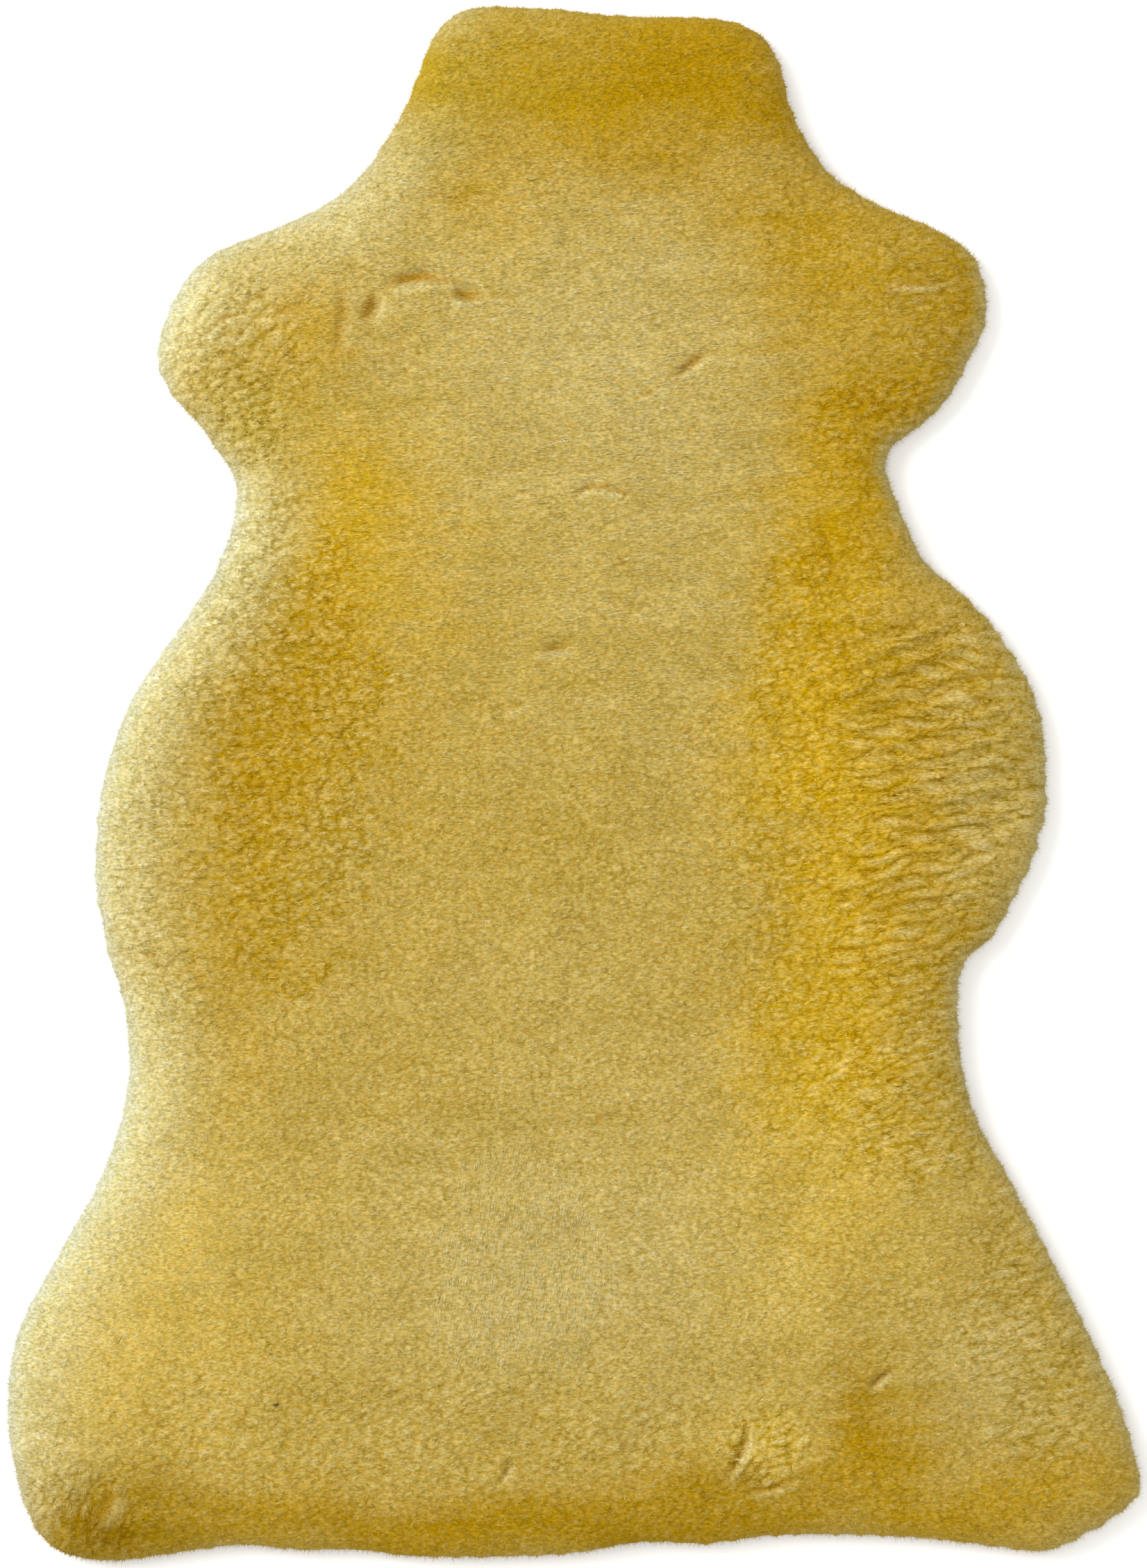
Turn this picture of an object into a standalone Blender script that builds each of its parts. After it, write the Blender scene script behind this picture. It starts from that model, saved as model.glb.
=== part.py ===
"""Sheepskin rug: one tanned pelt with its clipped wool on, lying flat on its hide.

It is one closed solid. The flat hide is its underside. The wool on it is a lumpy slab that swells
past the hide's edge in a soft roll, with locks all round its rim, coarse ridges where the longer
flank wool parts, and the dents and slits that are pressed into the pile.
Metres, +Z up, +Y to the neck, +X to the right seen from above, origin under the rug's middle.
"""

import math
import random
from collections import namedtuple

import bmesh
import bpy
import numpy as np
from mathutils import Vector, noise
from mathutils.geometry import delaunay_2d_cdt, interpolate_bezier

MM = 0.001

# Driving dimensions

PILE_TOP = 32 * MM  # hide and clipped wool together
REACH_HEIGHT = 11 * MM  # height at which the roll of the rim reaches furthest out
ROLL_WIDTH = 38 * MM  # from the furthest reach in to the flat of the pile
ROLL_FULLNESS = 2.2  # exponent of the roll's curve, where 2 is an ellipse
LOCK_WIDTH = 14 * MM  # usual width of a lock at the rim
LOCK_DEPTH = 2.0 * MM  # from the parting beside a lock out to its tip, on clipped wool
TIP_SHARE = 0.4  # share of a lock's depth that stands out past the outline
LOCK_UNEVENNESS = 0.3  # how far locks differ in width and depth, as a share
TIP_SWAY = 0.1  # how far a tip strays from the middle of its lock, as a share of its width
LUMP_SIZE = 42 * MM  # width of the slab's soft lumps
LUMP_HEIGHT = 2.8 * MM
RIDGE_RUN = 28 * MM  # length over which a fan's ridges rise to full height
DENT_LIP = 0.45 * MM  # lift of the pile beside a dent, where the wool is pushed up
DENT_SKIRT = 1.6  # a dent's lip ends this many times its half size out

# How finely the solid follows these shapes

OUTLINE_PIECES = 10  # pieces of the smooth outline between two of its stations
RIM_SPAN = 18 * MM  # the rim's direction is taken over this length each way
GRID_STEP = 14 * MM  # spacing of the points on the flat of the pile
GRID_SWAY = 0.12  # how far a grid point strays, as a share of the step
GRID_CLEARANCE = 10 * MM  # no grid point lies nearer than this to a dent's or ridge's point
POINT_CLEARANCE = 6.5 * MM  # nor any other two points nearer than this
SEED = 7

# The outline where the wool reaches furthest, in millimetres from the middle of the rug.
# Each row is a section across the rug, from the neck down to the hind corners.

Section = namedtuple("Section", "place y left right")
SECTIONS = (
    Section("neck corners", 458, -86, 113),
    Section("neck", 438, -95, 127),
    Section("neck", 412, -105, 133),
    Section("nape", 389, -119, 144),
    Section("nape", 372, -132, 157),
    Section("shoulder slope", 355, -151, 183),
    Section("shoulder slope", 340, -184, 218),
    Section("foreleg top", 323, -225, 243),
    Section("foreleg", 303, -242, 251),
    Section("foreleg", 281, -252, 252),
    Section("foreleg", 256, -257, 241),
    Section("foreleg underside", 233, -246, 229),
    Section("foreleg underside", 215, -229, 211),
    Section("elbow notch", 201, -220, 192),
    Section("elbow notch", 185, -209, 193),
    Section("chest", 160, -210, 203),
    Section("chest", 137, -218, 214),
    Section("flank top", 122, -225, 232),
    Section("flank", 96, -243, 257),
    Section("flank", 72, -260, 273),
    Section("flank", 50, -273, 283),
    Section("belly", 21, -284, 288),
    Section("belly", -15, -292, 288),
    Section("belly", -46, -294, 280),
    Section("belly underside", -72, -293, 268),
    Section("belly underside", -90, -288, 258),
    Section("belly tuck", -99, -288, 251),
    Section("belly tuck", -106, -286, 240),
    Section("waist", -126, -278, 235),
    Section("waist", -168, -273, 237),
    Section("waist", -202, -278, 246),
    Section("thigh", -240, -292, 267),
    Section("thigh", -282, -315, 289),
    Section("thigh", -332, -341, 314),
    Section("hind leg", -375, -347, 333),
    Section("hind leg", -410, -344, 343),
    Section("hind corners", -429, -340, 346),
    Section("hind corners", -443, -335, 333),
    Section("hind corners", -456, -328, 313),
    Section("hind corners", -467, -315, 287),
)

Station = namedtuple("Station", "x y")
NECK_EDGE = (Station(-66, 473), Station(-28, 474), Station(31, 469), Station(88, 467))
HIND_EDGE = (
    Station(250, -464),
    Station(199, -459),
    Station(119, -458),
    Station(82, -463),
    Station(42, -462),
    Station(-2, -469),
    Station(-87, -471),
    Station(-137, -467),
    Station(-171, -467),
    Station(-202, -464),
    Station(-242, -469),
    Station(-287, -474),
)

# Rings of points on the roll, in millimetres in from the outline. The low ones run from the
# furthest reach down to the hide's edge, and the high ones up to the flat of the pile, where a
# step of 2 keeps the partings alone. lock_share is how much of a lock's depth shows there.

LowRing = namedtuple("LowRing", "place inset height lock_share")
LOW_RINGS = (
    LowRing("furthest reach", 0, REACH_HEIGHT / MM, 1.0),
    LowRing("under the roll", 5, 3.5, 0.6),
    LowRing("edge of the hide", 15, 0, 0.0),
)
HighRing = namedtuple("HighRing", "place inset lock_share step")
HIGH_RINGS = (
    HighRing("over the roll", 5.5, 0.8, 1),
    HighRing("top of the roll", 15, 0.35, 2),
)

# Where the wool is longer and stands in coarse ridges that run out to the rim. x and y are the
# place from which the ridges fan out, first and last are headings in degrees from +X.

Fan = namedtuple("Fan", "place x y first last inner outer pitch depth lock_depth")
FANS = (
    Fan("right belly", -300, -120, 2, 25, 480, 620, 15, 4.2, 4.0),
    Fan("left foreleg", -150, 268, 130, 222, 38, 125, 15, 4.0, 3.8),
    Fan("right foreleg", 170, 268, -62, 42, 34, 105, 16, 2.5, 3.0),
    Fan("left belly", -150, -40, 158, 226, 86, 160, 16, 3.0, 3.6),
    Fan("right thigh", 150, -300, -52, 26, 92, 215, 18, 3.0, 3.6),
    Fan("left hind corner", -215, -345, 196, 282, 62, 150, 17, 2.6, 3.2),
)

# Broad rises and hollows of the pile, in millimetres, turned by degrees from +X.

Swell = namedtuple("Swell", "place x y half_length half_width turn rise")
SWELLS = (
    Swell("left shoulder hollow", -70, 357, 42, 26, 20, -2.5),
    Swell("neck", 62, 412, 70, 34, -8, -2.0),
    Swell("left flank hollow", -172, 62, 95, 36, 72, -3.0),
    Swell("right flank hollow", 150, 5, 130, 30, 95, -3.0),
    Swell("right belly", 228, 10, 80, 40, 90, 3.0),
    Swell("left foreleg", -205, 268, 48, 34, 70, 2.5),
    Swell("back", 15, 190, 150, 70, 90, 2.0),
    Swell("rump", 40, -290, 160, 62, 5, 2.5),
    Swell("right hind hollow", 168, -385, 46, 26, 10, -3.5),
    Swell("pale clumps", 118, -402, 34, 20, 20, 3.0),
    Swell("left hind hollow", -282, -430, 20, 22, 70, -2.5),
    Swell("left thigh", -290, -350, 70, 34, 75, 2.0),
)

# Dents and slits pressed into the pile, in millimetres, turned by degrees from +X.

Dent = namedtuple("Dent", "place x y length width turn depth")
DENTS = (
    Dent("shoulder, long", -96, 306, 34, 14, 12, 7),
    Dent("shoulder, left", -121, 287, 17, 17, 60, 6),
    Dent("shoulder, right", -65, 297, 20, 13, -20, 6),
    Dent("diagonal slit", 71, 253, 32, 9, 36, 5),
    Dent("pinch, left", 7, 180, 15, 9, 50, 4),
    Dent("pinch, right", 26, 177, 16, 9, -42, 4),
    Dent("middle of the back", -11, 82, 18, 14, 8, 5),
    Dent("right hind slit", 185, -359, 20, 9, 40, 5),
    Dent("beside the pale clumps", 102, -398, 28, 10, 68, 5),
    Dent("hind crease", -40, -416, 18, 9, 65, 4),
)

# Rings of points in and round a dent, at a share of its half size out from its middle.

DentRing = namedtuple("DentRing", "reach points")
DENT_RINGS = (DentRing(0.6, 8), DentRing(1.15, 10))
DENT_FLOOR = (-0.35, 0, 0.35)


def outline_stations():
    """The outline's stations in metres, clockwise from the left end of the neck edge."""
    right = [(row.right, row.y) for row in SECTIONS]
    left = [(row.left, row.y) for row in reversed(SECTIONS)]
    stations = [*NECK_EDGE, *right, *HIND_EDGE, *left]
    return [Vector(station) * MM for station in stations]


def smooth_loop(stations):
    """A closed smooth curve through the stations, as an array of points."""
    points = []
    count = len(stations)
    for index, here in enumerate(stations):
        before = stations[index - 1]
        after = stations[(index + 1) % count]
        beyond = stations[(index + 2) % count]
        handle = (after - here).length / 3
        leave = here + (after - before).normalized() * handle
        arrive = after - (beyond - here).normalized() * handle
        points += interpolate_bezier(here, leave, arrive, after, OUTLINE_PIECES + 1)[:-1]
    return np.array([(point.x, point.y) for point in points])


class Rim:
    """The outline as a function of the length along it."""

    def __init__(self, loop):
        self.loop = np.vstack([loop, loop[:1]])
        steps = np.linalg.norm(np.diff(self.loop, axis=0), axis=1)
        self.along = np.concatenate([[0], np.cumsum(steps)])
        self.length = self.along[-1]

    def point(self, along):
        along = along % self.length
        x = np.interp(along, self.along, self.loop[:, 0])
        y = np.interp(along, self.along, self.loop[:, 1])
        return np.stack([x, y], axis=-1)

    def outward(self, along):
        """The direction out of the rug, on a stretch long enough to even out small bends."""
        forward = self.point(along + RIM_SPAN) - self.point(along - RIM_SPAN)
        across = np.stack([-forward[..., 1], forward[..., 0]], axis=-1)
        return across / np.linalg.norm(across, axis=-1, keepdims=True)

    def distance(self, points):
        """How far each point lies from the outline."""
        nearest = np.full(len(points), np.inf)
        starts = self.loop[:-1]
        sides = np.diff(self.loop, axis=0)
        for start, side in zip(starts, sides):
            share = np.clip((points - start) @ side / (side @ side), 0, 1)
            gap = np.linalg.norm(points - start - share[:, None] * side, axis=1)
            nearest = np.minimum(nearest, gap)
        return nearest

    def holds(self, points):
        """Whether each point lies inside the outline."""
        inside = np.zeros(len(points), bool)
        x, y = points[:, 0], points[:, 1]
        for (ax, ay), (bx, by) in zip(self.loop[:-1], self.loop[1:]):
            if ay == by:
                continue
            crosses = (ay > y) != (by > y)
            inside ^= crosses & (x < ax + (y - ay) * (bx - ax) / (by - ay))
        return inside


def ease(share):
    """A soft step from 0 to 1."""
    share = np.clip(share, 0, 1)
    return share * share * (3 - 2 * share)


def local(points, place):
    """Points in the frame of a dent or swell, as lengths along and across it."""
    turn = math.radians(place.turn)
    x = points[:, 0] - place.x * MM
    y = points[:, 1] - place.y * MM
    return x * math.cos(turn) + y * math.sin(turn), y * math.cos(turn) - x * math.sin(turn)


def polar(points, fan):
    """Points as seen from the place where a fan starts: distance, and heading from its middle."""
    x = points[:, 0] - fan.x * MM
    y = points[:, 1] - fan.y * MM
    middle = math.radians((fan.first + fan.last) / 2)
    heading = (np.arctan2(y, x) - middle + math.pi) % (2 * math.pi) - math.pi
    return np.hypot(x, y), heading


def fan_step(fan):
    """The angle between two ridges, whose pitch is measured two thirds of the way out."""
    return fan.pitch / (fan.inner + (fan.outer - fan.inner) * 2 / 3)


def fan_strength(points, fan):
    """How much of a fan shows at each point, from 0 to 1."""
    distance, heading = polar(points, fan)
    half = math.radians((fan.last - fan.first) / 2)
    sideways = ease((half - np.abs(heading)) / (fan_step(fan) * 2))
    outward = ease((distance - fan.inner * MM) / RIDGE_RUN)
    return sideways * outward


def ridge_height(points):
    """The partings between the coarse ridges of the fans, below the ridges' crests."""
    rise = np.zeros(len(points))
    for fan in FANS:
        _, heading = polar(points, fan)
        parting = (1 - np.cos(heading / fan_step(fan) * 2 * math.pi)) / 2
        rise -= fan.depth * MM * parting * fan_strength(points, fan)
    return rise


def swell_height(points):
    rise = np.zeros(len(points))
    for swell in SWELLS:
        along, across = local(points, swell)
        spread = (along / (swell.half_length * MM)) ** 2 + (across / (swell.half_width * MM)) ** 2
        rise += swell.rise * MM * np.exp(-spread)
    return rise


def dent_reach(points, dent):
    """0 at a dent's middle, 1 at its edge, more outside it."""
    along, across = local(points, dent)
    return np.hypot(along / (dent.length * MM / 2), across / (dent.width * MM / 2))


def dent_height(points):
    rise = np.zeros(len(points))
    for dent in DENTS:
        reach = dent_reach(points, dent)
        lip = ease((DENT_SKIRT - reach) / (DENT_SKIRT - 1)) * ease(reach)
        rise += DENT_LIP * lip - dent.depth * MM * (1 - ease(reach))
    return rise


def lump_height(points):
    return LUMP_HEIGHT * np.array([noise.noise(Vector((x, y, 0)) / LUMP_SIZE) for x, y in points])


def pile_height(points, inset):
    """Height of the wool's top at points that lie this far in from the outline."""
    share = np.clip(inset / ROLL_WIDTH, 0, 1)
    roll = (1 - (1 - share) ** ROLL_FULLNESS) ** (1 / ROLL_FULLNESS)
    relief = swell_height(points) + dent_height(points) + lump_height(points) + ridge_height(points)
    return REACH_HEIGHT + (PILE_TOP - REACH_HEIGHT) * roll + relief * ease(share)


def make_locks(rim, dice):
    """Two points for each lock along the rim, one in the parting and one on the tip."""
    partings = [0.0]
    while partings[-1] < rim.length - LOCK_WIDTH:
        partings.append(partings[-1] + LOCK_WIDTH * (1 + LOCK_UNEVENNESS * dice.uniform(-1, 1)))
    partings = np.array(partings) * rim.length / (partings[-1] + LOCK_WIDTH)
    widths = np.diff(np.append(partings, rim.length))
    tips = partings + widths * np.array([0.5 + TIP_SWAY * dice.uniform(-1, 1) for _ in partings])
    along = np.stack([partings, tips], axis=1).ravel()
    depth = np.full(len(along), LOCK_DEPTH)
    for fan in FANS:
        depth += (fan.lock_depth * MM - LOCK_DEPTH) * fan_strength(rim.point(along), fan)
    tooth = np.tile([TIP_SHARE - 1, TIP_SHARE], len(partings))
    uneven = np.array([1 + LOCK_UNEVENNESS * dice.uniform(-1, 1) for _ in along])
    return along, depth * tooth * uneven


def ring(rim, along, teeth, inset, lock_share):
    """Points round the rug, this far in from the outline, with the locks' teeth on them."""
    return rim.point(along) + rim.outward(along) * (teeth * lock_share - inset)[:, None]


def fan_points(fan):
    """Points on the crest and in the parting of each ridge of a fan."""
    half_turn = math.radians((fan.last - fan.first) / 2)
    middle = math.radians((fan.first + fan.last) / 2)
    step = fan_step(fan) / 2
    count = int(half_turn / step)
    headings = middle + step * np.arange(-count, count + 1)
    distances = np.arange(fan.inner * MM + GRID_STEP, fan.outer * MM, GRID_STEP)
    heading, distance = np.meshgrid(headings, distances)
    x = fan.x * MM + distance * np.cos(heading)
    y = fan.y * MM + distance * np.sin(heading)
    return np.stack([x.ravel(), y.ravel()], axis=1)


def dent_points(dent):
    """Points along a dent's floor, half way up its sides and round its edge."""
    rows = [(share, 0) for share in DENT_FLOOR]
    for level in DENT_RINGS:
        angles = np.arange(level.points) * 2 * math.pi / level.points
        rows += [(level.reach * math.cos(angle), level.reach * math.sin(angle)) for angle in angles]
    along, across = np.array(rows).T * np.array([[dent.length], [dent.width]]) * MM / 2
    turn = math.radians(dent.turn)
    x = dent.x * MM + along * math.cos(turn) - across * math.sin(turn)
    y = dent.y * MM + along * math.sin(turn) + across * math.cos(turn)
    return np.stack([x, y], axis=1)


def grid_points(rim, dice):
    """A loose triangular grid over the outline's whole box."""
    low, high = rim.loop.min(axis=0), rim.loop.max(axis=0)
    points = []
    for index, y in enumerate(np.arange(low[1], high[1], GRID_STEP * math.sqrt(3) / 2)):
        shift = GRID_STEP / 2 * (index % 2)
        points += [(x, y) for x in np.arange(low[0] + shift, high[0], GRID_STEP)]
    sway = np.array([(dice.uniform(-1, 1), dice.uniform(-1, 1)) for _ in points])
    return np.array(points) + sway * GRID_STEP * GRID_SWAY


def clear_of(points, others, clearance):
    """The points that keep this clearance from all the others."""
    gaps = np.array([np.linalg.norm(others - point, axis=1).min() for point in points])
    return points[gaps > clearance]


def inner_points(rim, dice, last_ring):
    """Points on the flat of the pile: dents first, then ridges, then the grid between them."""
    chosen = np.vstack([dent_points(dent) for dent in DENTS])
    for fan in FANS:
        chosen = np.vstack([chosen, clear_of(fan_points(fan), chosen, POINT_CLEARANCE)])
    chosen = np.vstack([chosen, clear_of(grid_points(rim, dice), chosen, GRID_CLEARANCE)])
    deep_enough = rim.distance(chosen) > HIGH_RINGS[-1].inset * MM + POINT_CLEARANCE
    chosen = chosen[deep_enough & rim.holds(chosen)]
    return clear_of(chosen, last_ring, POINT_CLEARANCE)


def top_points(rim, along, teeth, dice):
    """Every point of the wool's top inside the furthest reach, with its height.

    On the roll a lock's tip stands as high as wool further in, and a parting as low as wool
    further out.
    """
    flats = []
    lifts = []
    for level in HIGH_RINGS:
        flats.append(ring(rim, along, teeth, level.inset * MM, level.lock_share)[:: level.step])
        lifts.append(2 * teeth[:: level.step] * level.lock_share)
    flats.append(inner_points(rim, dice, flats[-1]))
    lifts.append(np.zeros(len(flats[-1])))
    flat = np.vstack(flats)
    inset = rim.distance(flat) + np.concatenate(lifts)
    return np.column_stack([flat, pile_height(flat, inset)])


def cover_top(shape, reach_verts, top_verts):
    """Triangles over all points of the top, out to the ring of the furthest reach."""
    verts = [*reach_verts, *top_verts]
    flat = [vert.co.to_2d() for vert in verts]
    count = len(reach_verts)
    rim_edges = [(index, (index + 1) % count) for index in range(count)]
    inside_the_rim = 1
    smallest_gap = 0.01 * MM
    result = delaunay_2d_cdt(flat, rim_edges, [], inside_the_rim, smallest_gap)
    faces, origins = result[2], result[3]
    for face in faces:
        shape.faces.new([verts[origins[corner][0]] for corner in face])


def close_below(shape, rings):
    """Bands from the furthest reach down to the hide's edge, and the flat hide between them."""
    for upper, lower in zip(rings, rings[1:]):
        for index in range(len(upper)):
            before = index - 1
            shape.faces.new([upper[before], lower[before], lower[index], upper[index]])
    shape.faces.new(rings[-1])


def set_on_floor(shape):
    """Puts the origin under the middle of the pelt's box, at the floor."""
    places = np.array([vert.co for vert in shape.verts])
    low, high = places.min(axis=0), places.max(axis=0)
    middle = Vector(((low[0] + high[0]) / 2, (low[1] + high[1]) / 2, low[2]))
    bmesh.ops.translate(shape, verts=shape.verts, vec=-middle)


def make_pelt(name):
    """The whole pelt as one closed solid."""
    dice = random.Random(SEED)
    rim = Rim(smooth_loop(outline_stations()))
    along, teeth = make_locks(rim, dice)
    shape = bmesh.new()
    low_rings = []
    for level in LOW_RINGS:
        flat = ring(rim, along, teeth, level.inset * MM, level.lock_share)
        low_rings.append([shape.verts.new((x, y, level.height * MM)) for x, y in flat])
    top_verts = [shape.verts.new(place) for place in top_points(rim, along, teeth, dice)]
    cover_top(shape, low_rings[0], top_verts)
    close_below(shape, low_rings)
    bmesh.ops.triangulate(shape, faces=shape.faces)
    bmesh.ops.recalc_face_normals(shape, faces=shape.faces)
    set_on_floor(shape)

    mesh = bpy.data.meshes.new(name)
    shape.to_mesh(mesh)
    shape.free()
    mesh.shade_smooth()
    pelt = bpy.data.objects.new(name, mesh)
    bpy.context.scene.collection.objects.link(pelt)
    return pelt


def wool_material():
    material = bpy.data.materials.new("honey_wool")
    material.use_nodes = True
    shader = material.node_tree.nodes["Principled BSDF"]
    shader.inputs["Base Color"].default_value = (0.56, 0.4, 0.11, 1)
    shader.inputs["Roughness"].default_value = 0.95
    shader.inputs["Metallic"].default_value = 0
    return material


for leftover in list(bpy.data.objects):
    bpy.data.objects.remove(leftover)

pelt = make_pelt("sheepskin_pelt")
pelt.data.materials.append(wool_material())
print(f"{pelt.name}: {len(pelt.data.polygons)} triangles")
print(f"size in mm: {[round(side / MM, 1) for side in pelt.dimensions]}")
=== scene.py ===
# %% [markdown]
# # A sheepskin rug
# The real rug is one skin, tanned with its wool on, cut to its own outline and clipped to about three
# centimetres. It could be one smooth slab with a wool texture on it, but then its edge and its tips
# would look cut out of card. So the script builds what a tanner has: a thin hide, a dense underwool
# on it, and the tips of the locks on that, which make the grain and the soft edge.

import math
from collections import namedtuple

import bmesh
import bpy
import numpy as np
from mathutils import Color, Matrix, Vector
from mathutils.kdtree import KDTree


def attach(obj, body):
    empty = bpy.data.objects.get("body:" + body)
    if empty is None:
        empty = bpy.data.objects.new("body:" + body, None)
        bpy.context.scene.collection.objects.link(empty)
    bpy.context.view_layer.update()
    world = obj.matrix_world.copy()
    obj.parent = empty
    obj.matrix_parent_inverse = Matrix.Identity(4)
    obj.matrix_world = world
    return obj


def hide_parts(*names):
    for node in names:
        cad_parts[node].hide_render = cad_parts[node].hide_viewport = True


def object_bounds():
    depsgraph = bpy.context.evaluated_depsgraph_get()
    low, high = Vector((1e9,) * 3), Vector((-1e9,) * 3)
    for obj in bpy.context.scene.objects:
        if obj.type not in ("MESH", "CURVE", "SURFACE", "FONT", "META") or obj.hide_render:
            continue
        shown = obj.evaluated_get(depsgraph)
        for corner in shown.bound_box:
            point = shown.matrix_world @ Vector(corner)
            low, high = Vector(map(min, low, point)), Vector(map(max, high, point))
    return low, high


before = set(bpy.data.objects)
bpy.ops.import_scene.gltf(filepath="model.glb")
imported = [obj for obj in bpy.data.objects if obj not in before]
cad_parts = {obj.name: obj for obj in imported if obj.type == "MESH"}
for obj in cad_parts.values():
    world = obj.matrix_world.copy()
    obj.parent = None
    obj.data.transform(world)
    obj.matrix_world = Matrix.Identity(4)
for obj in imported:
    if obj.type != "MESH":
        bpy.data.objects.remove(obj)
cad_low, cad_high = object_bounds()
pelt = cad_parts["sheepskin_pelt"]
MM = 0.001
MERGE = 0.01 * MM
TINY = 1e-6
print("The pelt measures", [round((high - low) / MM, 1) for low, high in zip(cad_low, cad_high)], "mm")

# %% [markdown]
# ## Camera
# The rug was photographed from straight above, so the camera looks straight down with the neck at
# the top. The frame just holds the skin: its lens is worked out from the skin's own length and the
# height it is seen from, which is high enough to show the rim without leaning over it.

# %% Camera
PHOTO_WIDTH = 1652
PHOTO_HEIGHT = 2259
CAMERA_HEIGHT = 3.2
RIM_HEIGHT = 0.011
SENSOR = 36.0

width = cad_high.x - cad_low.x
length = cad_high.y - cad_low.y
seen_length = max(length, width * PHOTO_HEIGHT / PHOTO_WIDTH)
camera_data = bpy.data.cameras.new("camera_above")
camera_data.sensor_width = SENSOR
camera_data.lens = SENSOR * (CAMERA_HEIGHT - RIM_HEIGHT) / seen_length
camera = bpy.data.objects.new("camera_above", camera_data)
camera.location = ((cad_low.x + cad_high.x) / 2, (cad_low.y + cad_high.y) / 2, CAMERA_HEIGHT)
bpy.context.scene.collection.objects.link(camera)
bpy.context.scene.camera = camera
print("Lens:", round(camera_data.lens, 1), "mm, frame length:", round(seen_length / MM, 1), "mm")

# %% [markdown]
# ## Light and floor
# Wool is soft to look at because light reaches it from everywhere. A pale floor and a bright sky
# give that, one large lamp stands above the left shoulder as in the photograph, and a weaker one
# hangs overhead. The lamps are wide, so that the shadow round the rim stays faint. The floor lies a
# hair above the hide's underside, so that the two never share a plane and flicker black from below.

# %% Light and floor
FLOOR_SIZE = 4.0
FLOOR_HEIGHT = 0.15 * MM
SKY_STRENGTH = 0.85
SKY_COLOUR = (1.0, 0.985, 0.955, 1.0)
Lamp = namedtuple("Lamp", "name place size power")
LAMPS = (
    Lamp("window", (-2.4, 1.3, 2.4), 2.4, 124),
    Lamp("overhead", (0.3, 0.0, 3.6), 2.4, 42),
)


def mesh_object(name, mesh):
    """A new object at the origin that shows the mesh."""
    piece = bpy.data.objects.new(name, mesh)
    bpy.context.scene.collection.objects.link(piece)
    return piece


def object_from_bmesh(name, shape):
    """A new object at the origin from a bmesh, which is freed."""
    mesh = bpy.data.meshes.new(name)
    shape.to_mesh(mesh)
    shape.free()
    return mesh_object(name, mesh)


def add_lamp(lamp):
    """A square area lamp that looks at the middle of the rug."""
    data = bpy.data.lights.new(lamp.name, "AREA")
    data.size = lamp.size
    data.energy = lamp.power
    piece = bpy.data.objects.new(lamp.name, data)
    piece.location = lamp.place
    piece.rotation_euler = (-Vector(lamp.place)).to_track_quat("-Z", "Y").to_euler()
    bpy.context.scene.collection.objects.link(piece)


for lamp in LAMPS:
    add_lamp(lamp)

world = bpy.data.worlds.new("pale_sky")
world.use_nodes = True
sky = world.node_tree.nodes["Background"]
sky.inputs["Color"].default_value = SKY_COLOUR
sky.inputs["Strength"].default_value = SKY_STRENGTH
bpy.context.scene.world = world
bpy.context.scene.view_settings.view_transform = "Standard"

floor_shape = bmesh.new()
bmesh.ops.create_grid(floor_shape, x_segments=1, y_segments=1, size=FLOOR_SIZE)
bmesh.ops.translate(floor_shape, verts=floor_shape.verts, vec=(0, 0, FLOOR_HEIGHT))
floor = object_from_bmesh("floor", floor_shape)
print("Lamps:", [lamp.name for lamp in LAMPS])

# %% [markdown]
# ## Noise
# No two locks of wool are alike, and yet the script has to give the same rug every time. A small
# grid of seeded random numbers, read smoothly, gives soft lumps of any size. Squeezed across one
# heading it gives long waves instead, which is how wool parts.

# %% Noise
NOISE_CELLS = 97
NOISE_TURN = 0.7
BEND_SIZE = 2.0
WAVE_BEND = 0.7
CELL_SWAY = 0.35
CELL_STEPS = (31, 17)


def soft_noise(x, y, size, seed):
    """Smooth noise from -1 to 1 at places in the plane, with lumps of about that size."""
    lattice = np.random.default_rng(seed).uniform(-1.0, 1.0, (NOISE_CELLS, NOISE_CELLS))
    turn = NOISE_TURN * (seed + 1)
    column = (x * math.cos(turn) + y * math.sin(turn)) / size
    row = (y * math.cos(turn) - x * math.sin(turn)) / size
    left, low = np.floor(column).astype(int), np.floor(row).astype(int)
    across, up = column - left, row - low
    across = across * across * (3 - 2 * across)
    up = up * up * (3 - 2 * up)
    left, low = left % NOISE_CELLS, low % NOISE_CELLS
    right, high = (left + 1) % NOISE_CELLS, (low + 1) % NOISE_CELLS
    lower = lattice[left, low] * (1 - across) + lattice[right, low] * across
    upper = lattice[left, high] * (1 - across) + lattice[right, high] * across
    return lower * (1 - up) + upper * up


def turned(x, y, middle_x, middle_y, turn):
    """Places measured along and across a heading, in degrees from +X, from a middle."""
    heading = math.radians(turn)
    across_x, across_y = x - middle_x, y - middle_y
    along = across_x * math.cos(heading) + across_y * math.sin(heading)
    across = across_y * math.cos(heading) - across_x * math.sin(heading)
    return along, across


def wave_noise(x, y, turn, run, pitch, seed):
    """Long waves along a heading: run is how far one goes, pitch how far apart they are."""
    along, across = turned(x, y, 0, 0, turn)
    bend = soft_noise(x, y, BEND_SIZE * run, seed + 1) * WAVE_BEND * pitch
    lattice_turn = NOISE_TURN * (seed + 1)
    straight_x = along / run * math.cos(lattice_turn) - (across + bend) / pitch * math.sin(lattice_turn)
    straight_y = along / run * math.sin(lattice_turn) + (across + bend) / pitch * math.cos(lattice_turn)
    return soft_noise(straight_x, straight_y, 1.0, seed)


Cell = namedtuple("Cell", "middle_x middle_y edge edge_x edge_y side number")


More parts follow.
